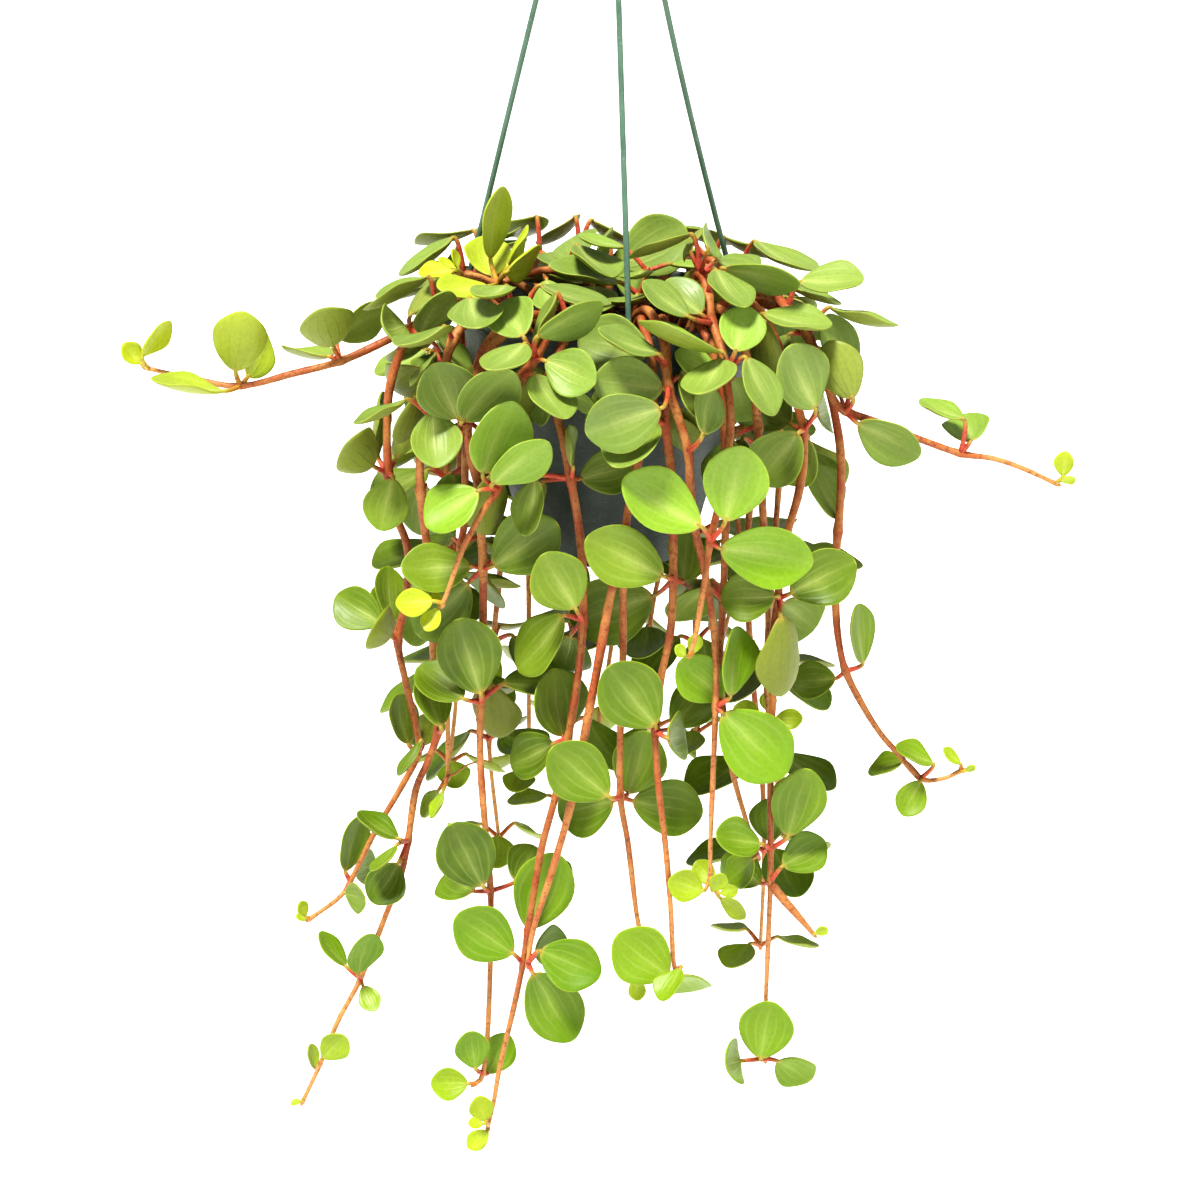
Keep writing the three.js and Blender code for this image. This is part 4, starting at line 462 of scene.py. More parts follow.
class Leaf:
    """A leaf from its root on the stem, the base and tip of its blade, and its upper face."""

    def __init__(self, stem, root, base, tip, hint, turn):
        self.stem = stem
        self.root = root
        self.base = base
        self.length = np.linalg.norm(tip - base)
        self.along = (tip - base) / self.length
        face = unit(hint - self.along * hint.dot(self.along))
        angle = math.radians(turn)
        self.face = face * math.cos(angle) + np.cross(self.along, face) * math.sin(angle)
        self.aside = np.cross(self.face, self.along)
        self.width = self.length * (LONG_BLADE_WIDTH if self.length > LONG_BLADE else BLADE_WIDTH)
        self.reach = np.linalg.norm(base - root)

    def blade(self, along, aside):
        """Points of the dished blade: along 0 to 1, aside -1 to 1 of its half width there."""
        spread = np.asarray(aside * width_at(along))
        lift = spread ** 2 + 0.5 * (2 * along - 1) ** 2 - 0.5
        along = np.broadcast_to(along, spread.shape)
        return (
            self.base
            + self.along * (self.length * along)[..., None]
            + self.aside * (self.width / 2 * spread)[..., None]
            + self.face * (self.length * BLADE_CUP * lift)[..., None]
        )

    def petiole(self, part):
        """Points of the petiole: a quadratic curve that bends into the line of the blade."""
        part = np.asarray(part)[..., None]
        knee = self.base - self.along * 0.18 * self.reach
        early = self.root + (knee - self.root) * part
        late = knee + (self.base - knee) * part
        return early + (late - early) * part

    def spots(self):
        """Rows of spots over the blade and spots along the petiole."""
        rows = []
        for row in range(SPOT_ROWS):
            along = 0.05 + 0.92 * row / (SPOT_ROWS - 1)
            half = math.floor(self.width / 2 * width_at(along) / SPOT_SPACING + 0.5)
            index = np.arange(-half, half + 1)
            rows.append(self.blade(along, 0.97 * index / half if half else np.zeros(1)))
        count = math.floor(self.reach / PETIOLE_SPACING + 0.5) + 1
        return rows, self.petiole(0.22 + 0.73 * np.arange(count) / count)


def clear_of_pot(spots, gap):
    """Whether every spot keeps off the pot's wall and soil."""
    z = spots[:, 2]
    share = (z - COLLAR_BASE) / COLLAR_HEIGHT
    body = (z - BASE_HEIGHT) / (COLLAR_BASE - BASE_HEIGHT)
    wall = np.where(
        z > COLLAR_BASE,
        COLLAR_RADIUS + (RIM_RADIUS - COLLAR_RADIUS) * share,
        BASE_RADIUS + (BODY_RADIUS - BASE_RADIUS) * body,
    )
    radius = np.hypot(spots[:, 0], spots[:, 1])
    beyond = (z > RIM_HEIGHT + gap) | (z < BASE_HEIGHT - gap)
    inside = (radius < wall - WALL - gap) & (z > SOIL_TOP + gap)
    return bool(np.all(beyond | (radius > wall + gap) | inside))


def clear_of(spots, others, gap):
    if len(spots) == 0 or len(others) == 0:
        return True
    apart = spots[:, None, :] - others[None, :, :]
    return float(np.min(np.einsum("ijk,ijk->ij", apart, apart))) >= gap * gap


class Garden:
    """The stems and leaves placed so far, which a new leaf has to clear."""

    def __init__(self):
        self.ease = 0
        self.names = []
        self.stem_spots = np.zeros((0, 3))
        self.owners = np.zeros(0, int)
        self.leaves = []
        self.centres = np.zeros((0, 3))
        self.reaches = np.zeros(0)

    def add_stem(self, name, spots):
        if name not in self.names:
            self.names.append(name)
        self.stem_spots = np.vstack((self.stem_spots, spots))
        self.owners = np.append(self.owners, np.full(len(spots), self.names.index(name)))

    def fits(self, leaf):
        rows, petiole = leaf.spots()
        blade = np.vstack(rows)
        outer = np.vstack(rows[OWN_ROWS:])
        if not clear_of_pot(np.vstack((blade, petiole)), POT_GAP):
            return False
        centre = leaf.blade(0.5, np.zeros(1))[0]
        reach = leaf.length / 2 + leaf.reach + 4
        near = np.linalg.norm(self.stem_spots - centre, axis=1) < reach + BLADE_STEM_GAP
        own = self.owners == self.names.index(leaf.stem)
        others = self.stem_spots[near & ~own]
        if not (
            clear_of(outer, self.stem_spots[near & own], OWN_STEM_GAP - self.ease)
            and clear_of(blade, others, BLADE_STEM_GAP - self.ease)
            and clear_of(petiole, others, PETIOLE_STEM_GAP - self.ease)
        ):
            return False
        distance = np.linalg.norm(self.centres - centre, axis=1)
        close = [self.leaves[index] for index in np.nonzero(distance <= reach + self.reaches)[0]]
        for same in (False, True):
            group = [other for other in close if (np.linalg.norm(other[0].root - leaf.root) < 1) == same]
            if not group:
                continue
            mine = outer if same else blade
            theirs = np.vstack([other[2 if same else 1] for other in group])
            petioles = np.vstack([other[3] for other in group])
            if not (
                clear_of(mine, theirs, BLADE_GAP - self.ease)
                and clear_of(mine, petioles, PETIOLE_GAP - self.ease)
                and clear_of(petiole, theirs, PETIOLE_GAP - self.ease)
                and (same or clear_of(petiole, petioles, PETIOLE_PETIOLE_GAP - self.ease))
            ):
                return False
        self.leaves.append((leaf, blade, outer, petiole))
        self.centres = np.vstack((self.centres, centre))
        self.reaches = np.append(self.reaches, reach)
        return True


def seen_leaf(garden, stem, route, entry):
    """A leaf of the front view, slid along the line of sight and turned until it is clear."""
    at, base_across, base_up, out, tip_across, tip_up, lean, turn = entry
    root = seen(*route[at])
    for size in SIZES:
        for extra in TURNS:
            for slide in SLIDES:
                if abs(out + slide) > FURTHEST_OUT:
                    continue
                towards = route[at][2] + out + slide
                base = seen(base_across, base_up, towards)
                tip = seen(tip_across, tip_up, towards + lean)
                end = base + (tip - base) * size
                leaf = Leaf(stem, root, base, end, unit(EYE - base), turn + extra)
                if garden.fits(leaf):
                    return leaf
    return None


def grown_leaf(garden, stem, root, tangent, angle, petiole, length, droop, turn, near_only=False):
    """A leaf grown by rule, tried at a few angles round the stem until it is clear.

    near_only keeps it between its stem and the pot."""
    side = np.array((1.0, 0.0, 0.0)) if abs(tangent[2]) > 0.9 else UP
    side = unit(side - tangent * side.dot(tangent))
    cross = np.cross(tangent, side)
    for extra in (0, 18, -18, 36, -36, 54, -54):
        around = math.radians(angle + extra)
        outward = side * math.cos(around) + cross * math.sin(around)
        for tip in (droop, droop + 25, droop - 15):
            level = np.array((outward[0], outward[1], 0.0))
            if np.linalg.norm(level) < 0.2 or (near_only and level[1] < 0.1):
                continue
            level = unit(level)
            pitch = math.radians(tip)
            along = level * math.cos(pitch) - UP * math.sin(pitch)
            base = root + outward * petiole * 0.8 + UP * petiole * 0.4
            leaf = Leaf(stem, root, base, base + along * length, UP + level * 0.3, turn)
            if garden.fits(leaf):
                return leaf
    return None


def rooted(x, towards):
    return [np.array((x, -towards, SOIL_TOP + rise)) for rise in (-STEM_ROOT_DEPTH, 1, 7)]


def over_rim(soil_spot, first, rise):
    """The point where a stem that leaves the pot at once passes over its rim."""
    near = math.hypot(soil_spot[0], soil_spot[1])
    far = math.hypot(first[0], first[1])
    crossing = RIM_RADIUS - RIM_STEP_IN
    if near > crossing - 4 or far < crossing + 4:
        return []
    spot = soil_spot + (first - soil_spot) * (crossing - near) / (far - near)
    spot[2] = RIM_HEIGHT + rise
    return [spot]


def round_rim(degrees, radius, height):
    turn = math.radians(degrees)
    return np.array((radius * math.cos(turn), -radius * math.sin(turn), height))


def back_route(stream, angle, length):
    """A far stem climbs over the rim at its angle and hangs down, wandering a little."""
    points = [
        round_rim(angle, BACK_ROOT_RADIUS + 7, RIM_HEIGHT + 3),
        round_rim(angle, BACK_HANG_RADIUS - 9, RIM_HEIGHT + 6),
        round_rim(angle, BACK_HANG_RADIUS - 1, RIM_HEIGHT - 6),
    ]
    nodes = [1]
    drop = 24
    while drop < length:
        wander = (stream.draw() - 0.5) * 7
        radius = BACK_HANG_RADIUS + (stream.draw() - 0.3) * 8
        points.append(round_rim(angle + wander, radius, RIM_HEIGHT - 6 - drop))
        nodes.append(len(points) - 1)
        drop += stream.between(NODE_SPACING)
    return points, nodes


def strand_path(angle, bow):
    """The strand's line: from its socket to just outside the rim, and hooked in through its slot."""
    top = BLOCK_TOP - BLOCK_HEIGHT + SOCKET_DEPTH - 1
    outside = RIM_RADIUS + 2.2
    low = RIM_HEIGHT - SLOT_BELOW_RIM + SLOT_HEIGHT / 2 - STRAND_RADIUS - CLEARANCE
    path = []
    for step in range(STRAND_STEPS):
        share = step / STRAND_STEPS
        radius = 3.3 + (outside - 3.3) * share + bow * math.sin(math.pi * share)
        path.append(round_rim(angle, radius, top + (RIM_HEIGHT + 3 - top) * share))
    for inward, height in (
        (0, RIM_HEIGHT + 2), (0, low + 3), (1.4, low + 0.5), (4, low), (7, low),
        (8.8, low + 0.8), (9.4, low + 3.4),
    ):
        path.append(round_rim(angle, outside - inward, height))
    return path


class Stem:
    """A stem: its curve, how thick it is and the leaves at its nodes."""

    def __init__(self, name, points, joins, scale, first):
        self.name = name
        self.node = joins or name
        self.joins = joins
        self.curve = Curve(points)
        self.scale = scale
        self.first = first
        self.leaves = []


def place_plant():
    """Every stem with its leaves, by the same rule and in the same order as the solids."""
    stream = Stream(PLACING_SEED)
    garden = Garden()
    stems = []
    grown = []

    def start_stem(name, points, joins, scale, first):
        stem = Stem(name, points, joins, scale, first)
        spots = stem.curve.at(stem.curve.rings(STEM_SPACING))
        keep = (spots[:, 2] > SOIL_TOP + 2) | (np.hypot(spots[:, 0], spots[:, 1]) > RIM_RADIUS - 5)
        garden.add_stem(stem.node, spots[keep])
        stems.append(stem)
        return stem

    for index, (angle, bow) in enumerate(STRANDS):
        line = Curve(strand_path(angle, bow), centripetal=True).at(np.linspace(0, 1, 1501))
        steps = np.append(0, np.cumsum(np.linalg.norm(np.diff(line, axis=0), axis=1)))
        even = np.linspace(0, steps[-1], 91)
        spots = np.stack([np.interp(even, steps, line[:, axis]) for axis in range(3)], axis=1)
        garden.add_stem(f"hanger_strand_{index + 1}", spots)
    for entry in STEMS:
        route = [seen(*spot) for spot in entry["route"]]
        start = []
        if entry["root"]:
            start = rooted(*entry["root"])
            start += over_rim(start[2], route[0], entry.get("over", RIM_STEP_UP))
        start_stem(entry["name"], start + route, entry["joins"], 1, len(start))
    for index in range(BACK_STEMS):
        even = BACK_FROM + (BACK_TO - BACK_FROM) * (index + 0.5) / BACK_STEMS
        angle = even + (stream.draw() - 0.5) * 5
        reach = BACK_ROOT_RADIUS - (0 if index % 2 == 0 else 12)
        turn = math.radians(angle)
        points, nodes = back_route(stream, angle, stream.between(BACK_LENGTHS))
        start = rooted(reach * math.cos(turn), reach * math.sin(turn))
        stem = start_stem(f"far_stem_{index + 1}", start + points, "", 0.95, len(start))
        grown.append((stem, [node + len(start) for node in nodes], 28))
    for index, (x, towards, rise, lean_x, lean_towards) in enumerate(CROWN_SHOOTS):
        start = rooted(x, towards)
        top = SOIL_TOP + rise
        middle = (x + lean_x * 0.4, -towards - lean_towards * 0.4, (SOIL_TOP + top) / 2 + 3)
        end = (x + lean_x, -towards - lean_towards, top)
        stem = start_stem(f"crown_shoot_{index + 1}", start + [middle, end], "", 0.85, len(start))
        grown.append((stem, [len(start), len(start) + 1], 2))

    by_name = {stem.name: stem for stem in stems}
    for entry in STEMS:
        stem = by_name[entry["name"]]
        for leaf_entry in entry["leaves"]:
            leaf = seen_leaf(garden, stem.node, entry["route"], leaf_entry)
            if leaf is not None:
                leaf.at = stem.first + leaf_entry[0]
                leaf.share = leaf_entry[0] / (len(entry["route"]) - 1)
                leaf.lime = LIME_NODES.get((stem.name, leaf_entry[0]), 0)
                leaf.bright = BRIGHT_NODES.get((stem.name, leaf_entry[0]), 0)
                stem.leaves.append(leaf)
    for stem, nodes, droop in grown:
        phase = stream.draw() * 360
        for order, node in enumerate(nodes):
            tangent = stem.curve.tangent(node / stem.curve.spans)
            last = order == len(nodes) - 1
            for index in range(WHORL):
                angle = phase + 360 * index / WHORL + (stream.draw() - 0.5) * 24
                length = stream.between(BLADE_LENGTHS) * (0.66 if last else 1)
                petiole = stream.between(PETIOLE_LENGTHS)
                tip = droop + (stream.draw() - 0.5) * 40
                turn = (stream.draw() - 0.5) * 30
                leaf = grown_leaf(
                    garden, stem.name, stem.curve.points[node], tangent, angle, petiole, length, tip, turn,
                )
                if leaf is not None:
                    leaf.at = node
                    leaf.share = order / max(1, len(nodes) - 1)
                    leaf.lime = 0.25 if last and droop > 10 else 0
                    leaf.bright = 0.55 if last and droop > 10 else 0
                    stem.leaves.append(leaf)
            phase += 45
    fill_in(stems, garden, stream)
    return stems


def fill_in(stems, garden, stream):
    """More leaves of true size between the solids' own: hidden ones of the whorls near the pot, and
    the dense ones where each stem passes over the rim."""
    garden.ease = EASE
    for stem in stems:
        points = stem.curve.points
        bearing = sorted({leaf.at for leaf in stem.leaves if points[leaf.at][2] > FILL_DOWN_TO})
        over = [index for index in range(3, len(points) - 1) if points[index][2] > RIM_HEIGHT - RIM_BAND]
        for node in sorted(set(bearing + over)):
            if math.hypot(points[node][0], points[node][1]) > FILL_WITHIN:
                continue
            tangent = stem.curve.tangent(node / stem.curve.spans)
            phase = stream.draw() * 360
            for index in range(FILL_TRIES):
                length = stream.between(BLADE_LENGTHS) * FILL_SIZE
                petiole = stream.between(PETIOLE_LENGTHS)
                angle = phase + 360 / FILL_TRIES * index
                leaf = grown_leaf(
                    garden, stem.node, points[node], tangent, angle, petiole, length,
                    10 + stream.draw() * 50, (stream.draw() - 0.5) * 40,
                    near_only=node in bearing and points[node][1] < -30 and node not in over,
                )
                if leaf is not None:
                    leaf.at = node
                    leaf.share = leaf.lime = leaf.bright = 0
                    stem.leaves.append(leaf)


class Surface:
    """Collects rings of points into one closed mesh, with two vectors of values at each point:
    form, which says where on its leaf or stem it lies, and tone, which sets its colour."""

    def __init__(self):
        self.points = []
        self.faces = []
        self.form = []
        self.tone = []
        self.slots = []
        self.count = 0

    def rings(self, points, form, tone, slot, caps=True):
        """A closed skin over rows of points that each run once round, with an end face on each."""
        rows, around = points.shape[:2]
        index = np.arange(rows * around).reshape(rows, around) + self.count
        following = np.roll(index, -1, axis=1)
        faces = np.stack((index[:-1], following[:-1], following[1:], index[1:]), axis=-1).reshape(-1, 4)
        self.faces += faces.tolist()
        self.slots += [slot] * len(faces)
        if caps:
            self.faces += [index[0][::-1].tolist(), index[-1].tolist()]
            self.slots += [slot] * 2
        self.points.append(points.reshape(-1, 3))
        self.form.append(np.broadcast_to(form, points.shape).reshape(-1, 3))
        self.tone.append(np.broadcast_to(tone, points.shape).reshape(-1, 3))
        self.count += rows * around

    def make(self, name, materials):
        mesh = bpy.data.meshes.new(name)
        mesh.from_pydata((np.vstack(self.points) * MM).tolist(), [], self.faces)
        for label, values in (("form", self.form), ("tone", self.tone)):
            layer = mesh.attributes.new(label, "FLOAT_VECTOR", "POINT")
            layer.data.foreach_set("vector", np.vstack(values).astype(np.float32).ravel())
        mesh.polygons.foreach_set("material_index", np.array(self.slots, np.int32))
        mesh.polygons.foreach_set("use_smooth", np.ones(len(self.faces), bool))
        for material in materials:
            mesh.materials.append(material)
        mesh.validate()
        mesh.update()
        return in_scene(bpy.data.objects.new(name, mesh))


def in_scene(thing):
    bpy.context.scene.collection.objects.link(thing)
    return thing


def tube_frames(line):
    """Two directions square to a line at each point, carried along it without twist."""
    ahead = np.gradient(line, axis=0)
    ahead /= np.linalg.norm(ahead, axis=1)[:, None]
    side = np.array((1.0, 0.0, 0.0)) if abs(ahead[0][2]) > 0.9 else UP
    sides = []
    for tangent in ahead:
        side = unit(side - tangent * side.dot(tangent))
        sides.append(side)
    sides = np.array(sides)
    return sides, np.cross(ahead, sides)


def tube(line, radii, around):
    """Rings of points round a line: each point is the line's plus a radius turned once round."""
    sides, crosses = tube_frames(line)
    turn = 2 * math.pi * np.arange(around) / around
    ring = sides[:, None] * np.cos(turn)[None, :, None] + crosses[:, None] * np.sin(turn)[None, :, None]
    radii = np.asarray(radii, float).reshape(len(line), -1)
    return line[:, None] + ring * radii[..., None]


def along_line(line):
    return np.append(0, np.cumsum(np.linalg.norm(np.diff(line, axis=0), axis=1)))


SKIN, BLADE = 0, 1
STEM_SIDES = 10
STEM_STEP = 2.0
PETIOLE_SIDES = 8
ROW_ANGLES = np.append(np.linspace(0.16, math.pi - 0.2, 16), math.pi - 0.07)
COLUMNS = np.array((-1, -0.965, -0.86, -0.7, -0.5, -0.26, 0, 0.26, 0.5, 0.7, 0.86, 0.965, 1))


def slender(leaf):
    return min(1, 0.5 + leaf.length / FULL_GROWN / 2)


def add_blade(surface, leaf, chance, tone):
    """The blade: a dished sheet a little wavy at its edge, thickest inside a rounded margin.

    Its rows run from base to tip and each ring goes over the top and back underneath. The midrib
    stands out below near the base; the five veins are sunk only by the bump of the blade's material.
    """
    ring = np.append(COLUMNS, COLUMNS[-2:0:-1])
    below = np.append(np.zeros(len(COLUMNS)), np.ones(len(COLUMNS) - 2))
    below[[0, len(COLUMNS) - 1]] = 0.5
    along = ((1 - np.cos(ROW_ANGLES)) / 2)[:, None] * np.ones(len(ring))
    aside = np.ones((len(ROW_ANGLES), 1)) * ring
    lean, wave, dish, phase, plump = chance.uniform(-1, 1, 5)
    skew = 1 + 0.06 * lean * np.sign(aside) * np.sin(math.pi * along)
    taper = 1.045 * (1 - 0.36 * along ** 4) * (1 - 0.3 * (1 - along) ** 3)
    spread = aside * width_at(along) * skew * taper * (1 + 0.09 * plump)
    lift = (1 + 0.25 * dish) * spread ** 2 + (0.5 + 0.2 * wave) * ((2 * along - 1) ** 2 - 1)
    ripple = 0.025 * spread ** 2 * np.sin(7 * along + 3 * aside + 3 * phase)
    middle = (
        leaf.base
        + leaf.along * (leaf.length * along)[..., None]
        + leaf.aside * (leaf.width / 2 * spread)[..., None]
        + leaf.face * (leaf.length * (BLADE_CUP * lift + ripple))[..., None]
    )
    edge = np.sqrt(1 - np.abs(aside) ** 6) * np.sqrt(np.clip(1 - np.abs(2 * along - 1) ** 8, 0, 1))
    edge[-1] = 0
    half = BLADE_THICKNESS / 2 * slender(leaf) * edge * np.where(below > 0.5, -1, 1)
    half[:, [0, len(COLUMNS) - 1]] = 0
    rib = 0.5 * np.exp(-(spread / 0.09) ** 2) * (1 - along) ** 1.5 * edge
    half -= np.where(below > 0.5, rib, 0) * slender(leaf)
    points = middle + leaf.face * half[..., None]
    form = np.stack((along, aside, np.ones_like(along) * below), axis=-1)
    surface.rings(points, form, tone, BLADE, caps=False)


def add_petiole(surface, leaf, tone):
    """The petiole: a thin tube that thickens towards the stem and runs on into the midrib."""
    parts = np.linspace(0, 1, 8)
    line = leaf.petiole(parts)
    inner = leaf.blade(np.array((0.05, 0.1, 0.15)), np.zeros(3)) - leaf.face * 0.3
    line = np.vstack((line, inner))
    radii = np.append(1.25 - 0.4 * np.sqrt(parts), (0.72, 0.5, 0.22)) * (0.35 + 0.65 * slender(leaf))
    points = tube(line, radii, PETIOLE_SIDES)
    form = np.stack((np.append(parts, (1, 1, 1)), np.zeros(11), np.full(11, 1.0)), axis=-1)[:, None]
    surface.rings(points, form, tone, SKIN)


def add_stem(surface, stem, chance):
    """The stem: a round tube that thins to its tip, swells at each node and ends in a bud."""
    shares = stem.curve.rings(STEM_STEP)
    line = stem.curve.at(shares)
    steps = along_line(line)
    radii = (STEM_RADIUS + (TIP_RADIUS - STEM_RADIUS) * shares ** 3) * stem.scale * STEM_ROUND
    for node in sorted({leaf.at for leaf in stem.leaves}):
        place = steps[np.argmin(np.abs(shares - node / stem.curve.spans))]
        radii = radii * (1 + 0.3 * np.exp(-((steps - place) / 2.3) ** 2))
    direction = unit(line[-1] - line[-2])
    reach = np.array((0.9, 1.7, 2.3, 2.6))
    line = np.vstack((line, line[-1] + direction * reach[:, None]))
    radii = np.append(radii, radii[-1] * np.array((0.95, 0.72, 0.4, 0.08)))
    steps = along_line(line)
    turn = 2 * math.pi * np.arange(STEM_SIDES) / STEM_SIDES
    knots = 1 + 0.05 * np.sin(steps[:, None] / 5.3 + turn * 2) + 0.03 * chance.uniform(-1, 1, (len(line), 1))
    points = tube(line, radii[:, None] * knots, STEM_SIDES)
    share = np.append(shares, np.ones(4))
    form = np.stack((steps / steps[-1], share, np.zeros(len(line))), axis=-1)[:, None]
    tone = np.array((0.0, 0.0, chance.random()))
    surface.rings(points, form, tone, SKIN)


def leaf_tone(leaf, chance):
    """How fresh and how lime yellow a leaf is, with a number of its own: the young are brighter."""
    young = max(0, (leaf.share - 0.55) / 0.45)
    small = min(1, max(0, (19 - leaf.length) / 11))
    fresh = 0.12 + 0.35 * young + 0.45 * small + chance.uniform(-0.1, 0.14)
    lime = max(leaf.lime, 0.55 * small * young)
    return np.array((min(1, max(fresh, leaf.bright)), lime, chance.random()))


def make_plant(stems, blade, skin):
    """One piece for each leafy stem, with its branches, petioles and blades."""
    chance = np.random.default_rng(LEAF_SEED)
    for name in [stem.name for stem in stems if stem.joins == ""]:
        surface = Surface()
        for stem in (stem for stem in stems if stem.node == name):
            add_stem(surface, stem, chance)
            for leaf in stem.leaves:
                tone = leaf_tone(leaf, chance)
                add_petiole(surface, leaf, tone)
                add_blade(surface, leaf, chance, tone)
            if stem.name == "left_bare_stem":
                add_withered_tip(surface)
        piece = surface.make(f"{name}_fine", [skin, blade])
        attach(piece, "root")
        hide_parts(name)


def add_withered_tip(surface):
    """A thin dry tendril that curls away from the bare stem's end."""
    spots = [(-68, -190), (-65, -189), (-61, -186), (-57, -184.5), (-53, -184), (-51, -185.5)]
    line = Curve([seen(across, up, 41) for across, up in spots]).at(np.linspace(0, 1, 24))
    points = tube(line, np.linspace(0.6, 0.2, 24), 6)
    surface.rings(points, np.array((1.0, 1.0, 0.0)), np.array((0.5, 0.3, 0.5)), SKIN)


def bake(piece):
    """Makes the piece's modifiers part of its mesh."""
    graph = bpy.context.evaluated_depsgraph_get()
    mesh = bpy.data.meshes.new_from_object(piece.evaluated_get(graph))
    old = piece.data
    piece.modifiers.clear()
    piece.data = mesh
    bpy.data.meshes.remove(old)


def ring_mesh(name, points, caps=True):
    surface = Surface()
    zeros = np.zeros(3)
    surface.rings(points, zeros, zeros, 0, caps)
    return surface.make(name, [])


def lathe_points(outline, around):
    """A profile of radius and height turned round the Z axis."""
    outline = np.array(outline, float)
    turn = 2 * math.pi * np.arange(around) / around
    x = outline[:, :1] * np.cos(turn)
    y = outline[:, :1] * np.sin(turn)
    z = outline[:, 1:] * np.ones(around)
    return np.stack((x, y, z), axis=-1)


def subtract(piece, cutters):
    for cutter in cutters:
        modifier = piece.modifiers.new("cut", "BOOLEAN")
        modifier.operation = "DIFFERENCE"
        modifier.object = cutter
        modifier.solver = "EXACT"
    bpy.context.view_layer.update()
    bake(piece)
    for cutter in cutters:
        mesh = cutter.data
        bpy.data.objects.remove(cutter)
        bpy.data.meshes.remove(mesh)


def rod_between(name, start, end, radius, around=20):
    line = np.linspace(start, end, 2)
    return ring_mesh(name, tube(line, np.full(2, radius), around))


def dress(piece, material, slot, *nodes):
    """Gives a finer piece its material, smooth faces with crisp edges, and its node's place."""
    piece.data.materials.clear()
    piece.data.materials.append(material)
    piece.data.polygons.foreach_set("use_smooth", np.ones(len(piece.data.polygons), bool))
    piece.data.polygons.foreach_set("material_index", np.zeros(len(piece.data.polygons), np.int32))
    piece.data.set_sharp_from_angle(angle=math.radians(38))
    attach(piece, "root")
    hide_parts(*nodes)


def rounded(outline, radius, steps=4):
    """A profile with each inner corner cut by a short arc, as moulded plastic has."""
    outline = [np.array(point, float) for point in outline]
    result = [outline[0]]
    for before, corner, after in zip(outline, outline[1:], outline[2:]):
        back = np.linalg.norm(before - corner)
        ahead = np.linalg.norm(after - corner)
        cut = min(radius, back * 0.45, ahead * 0.45)
        start = corner + (before - corner) * cut / back
        end = corner + (after - corner) * cut / ahead
        for step in range(steps + 1):
            part = step / steps
            result.append((1 - part) ** 2 * start + 2 * part * (1 - part) * corner + part ** 2 * end)
    return result + [outline[-1]]


def make_pot(material):
    """The pot: its section turned round, with three strand slots and five drain holes cut out."""
    foot = BASE_HEIGHT + FOOT_HEIGHT
    outline = rounded([
        (0.01, foot),
        (BASE_RADIUS - 4, foot),
        (BASE_RADIUS - 3, BASE_HEIGHT),
        (BASE_RADIUS, BASE_HEIGHT),
        (BODY_RADIUS - 0.5, COLLAR_BASE - 2.5),
        (COLLAR_RADIUS - 1, COLLAR_BASE - 1),
        (COLLAR_RADIUS, COLLAR_BASE),
        (RIM_RADIUS - 1.2, RIM_HEIGHT - 4.5),
        (RIM_RADIUS, RIM_HEIGHT - 3.5),
        (RIM_RADIUS, RIM_HEIGHT - 0.8),
        (RIM_RADIUS - 0.9, RIM_HEIGHT),
        (RIM_RADIUS - 2.4, RIM_HEIGHT - 0.4),
        (RIM_RADIUS - 3, RIM_HEIGHT - 4.5),
        (COLLAR_RADIUS - WALL, COLLAR_BASE + 1),
        (BODY_RADIUS - WALL, COLLAR_BASE - 3.5),
        (BASE_RADIUS - WALL, foot + WALL),
        (0.01, foot + WALL),
    ], 0.7, 3)
    pot = ring_mesh("pot_fine", lathe_points(outline, 120))
    cutters = []
    for angle, _ in STRANDS:
        middle = round_rim(angle, RIM_RADIUS - 3, RIM_HEIGHT - SLOT_BELOW_RIM)
        outward = unit(middle * (1, 1, 0))
        across = np.cross(UP, outward)
        ring = np.array([across * SLOT_WIDTH * a / 2 + UP * SLOT_HEIGHT * b / 2 for a, b in CORNERS])
        points = np.stack([middle + outward * out + ring for out in (-4, 4)])
        cutters.append(ring_mesh("slot", points))
    for index in range(DRAIN_COUNT):
        turn = 2 * math.pi * index / DRAIN_COUNT
        spot = np.array((DRAIN_RING_RADIUS * math.cos(turn), DRAIN_RING_RADIUS * math.sin(turn), foot))
        cutters.append(rod_between("drain", spot - UP * 6, spot + UP * 6, DRAIN_RADIUS, 24))
    subtract(pot, cutters)
    dress(pot, material, "pot", "pot")


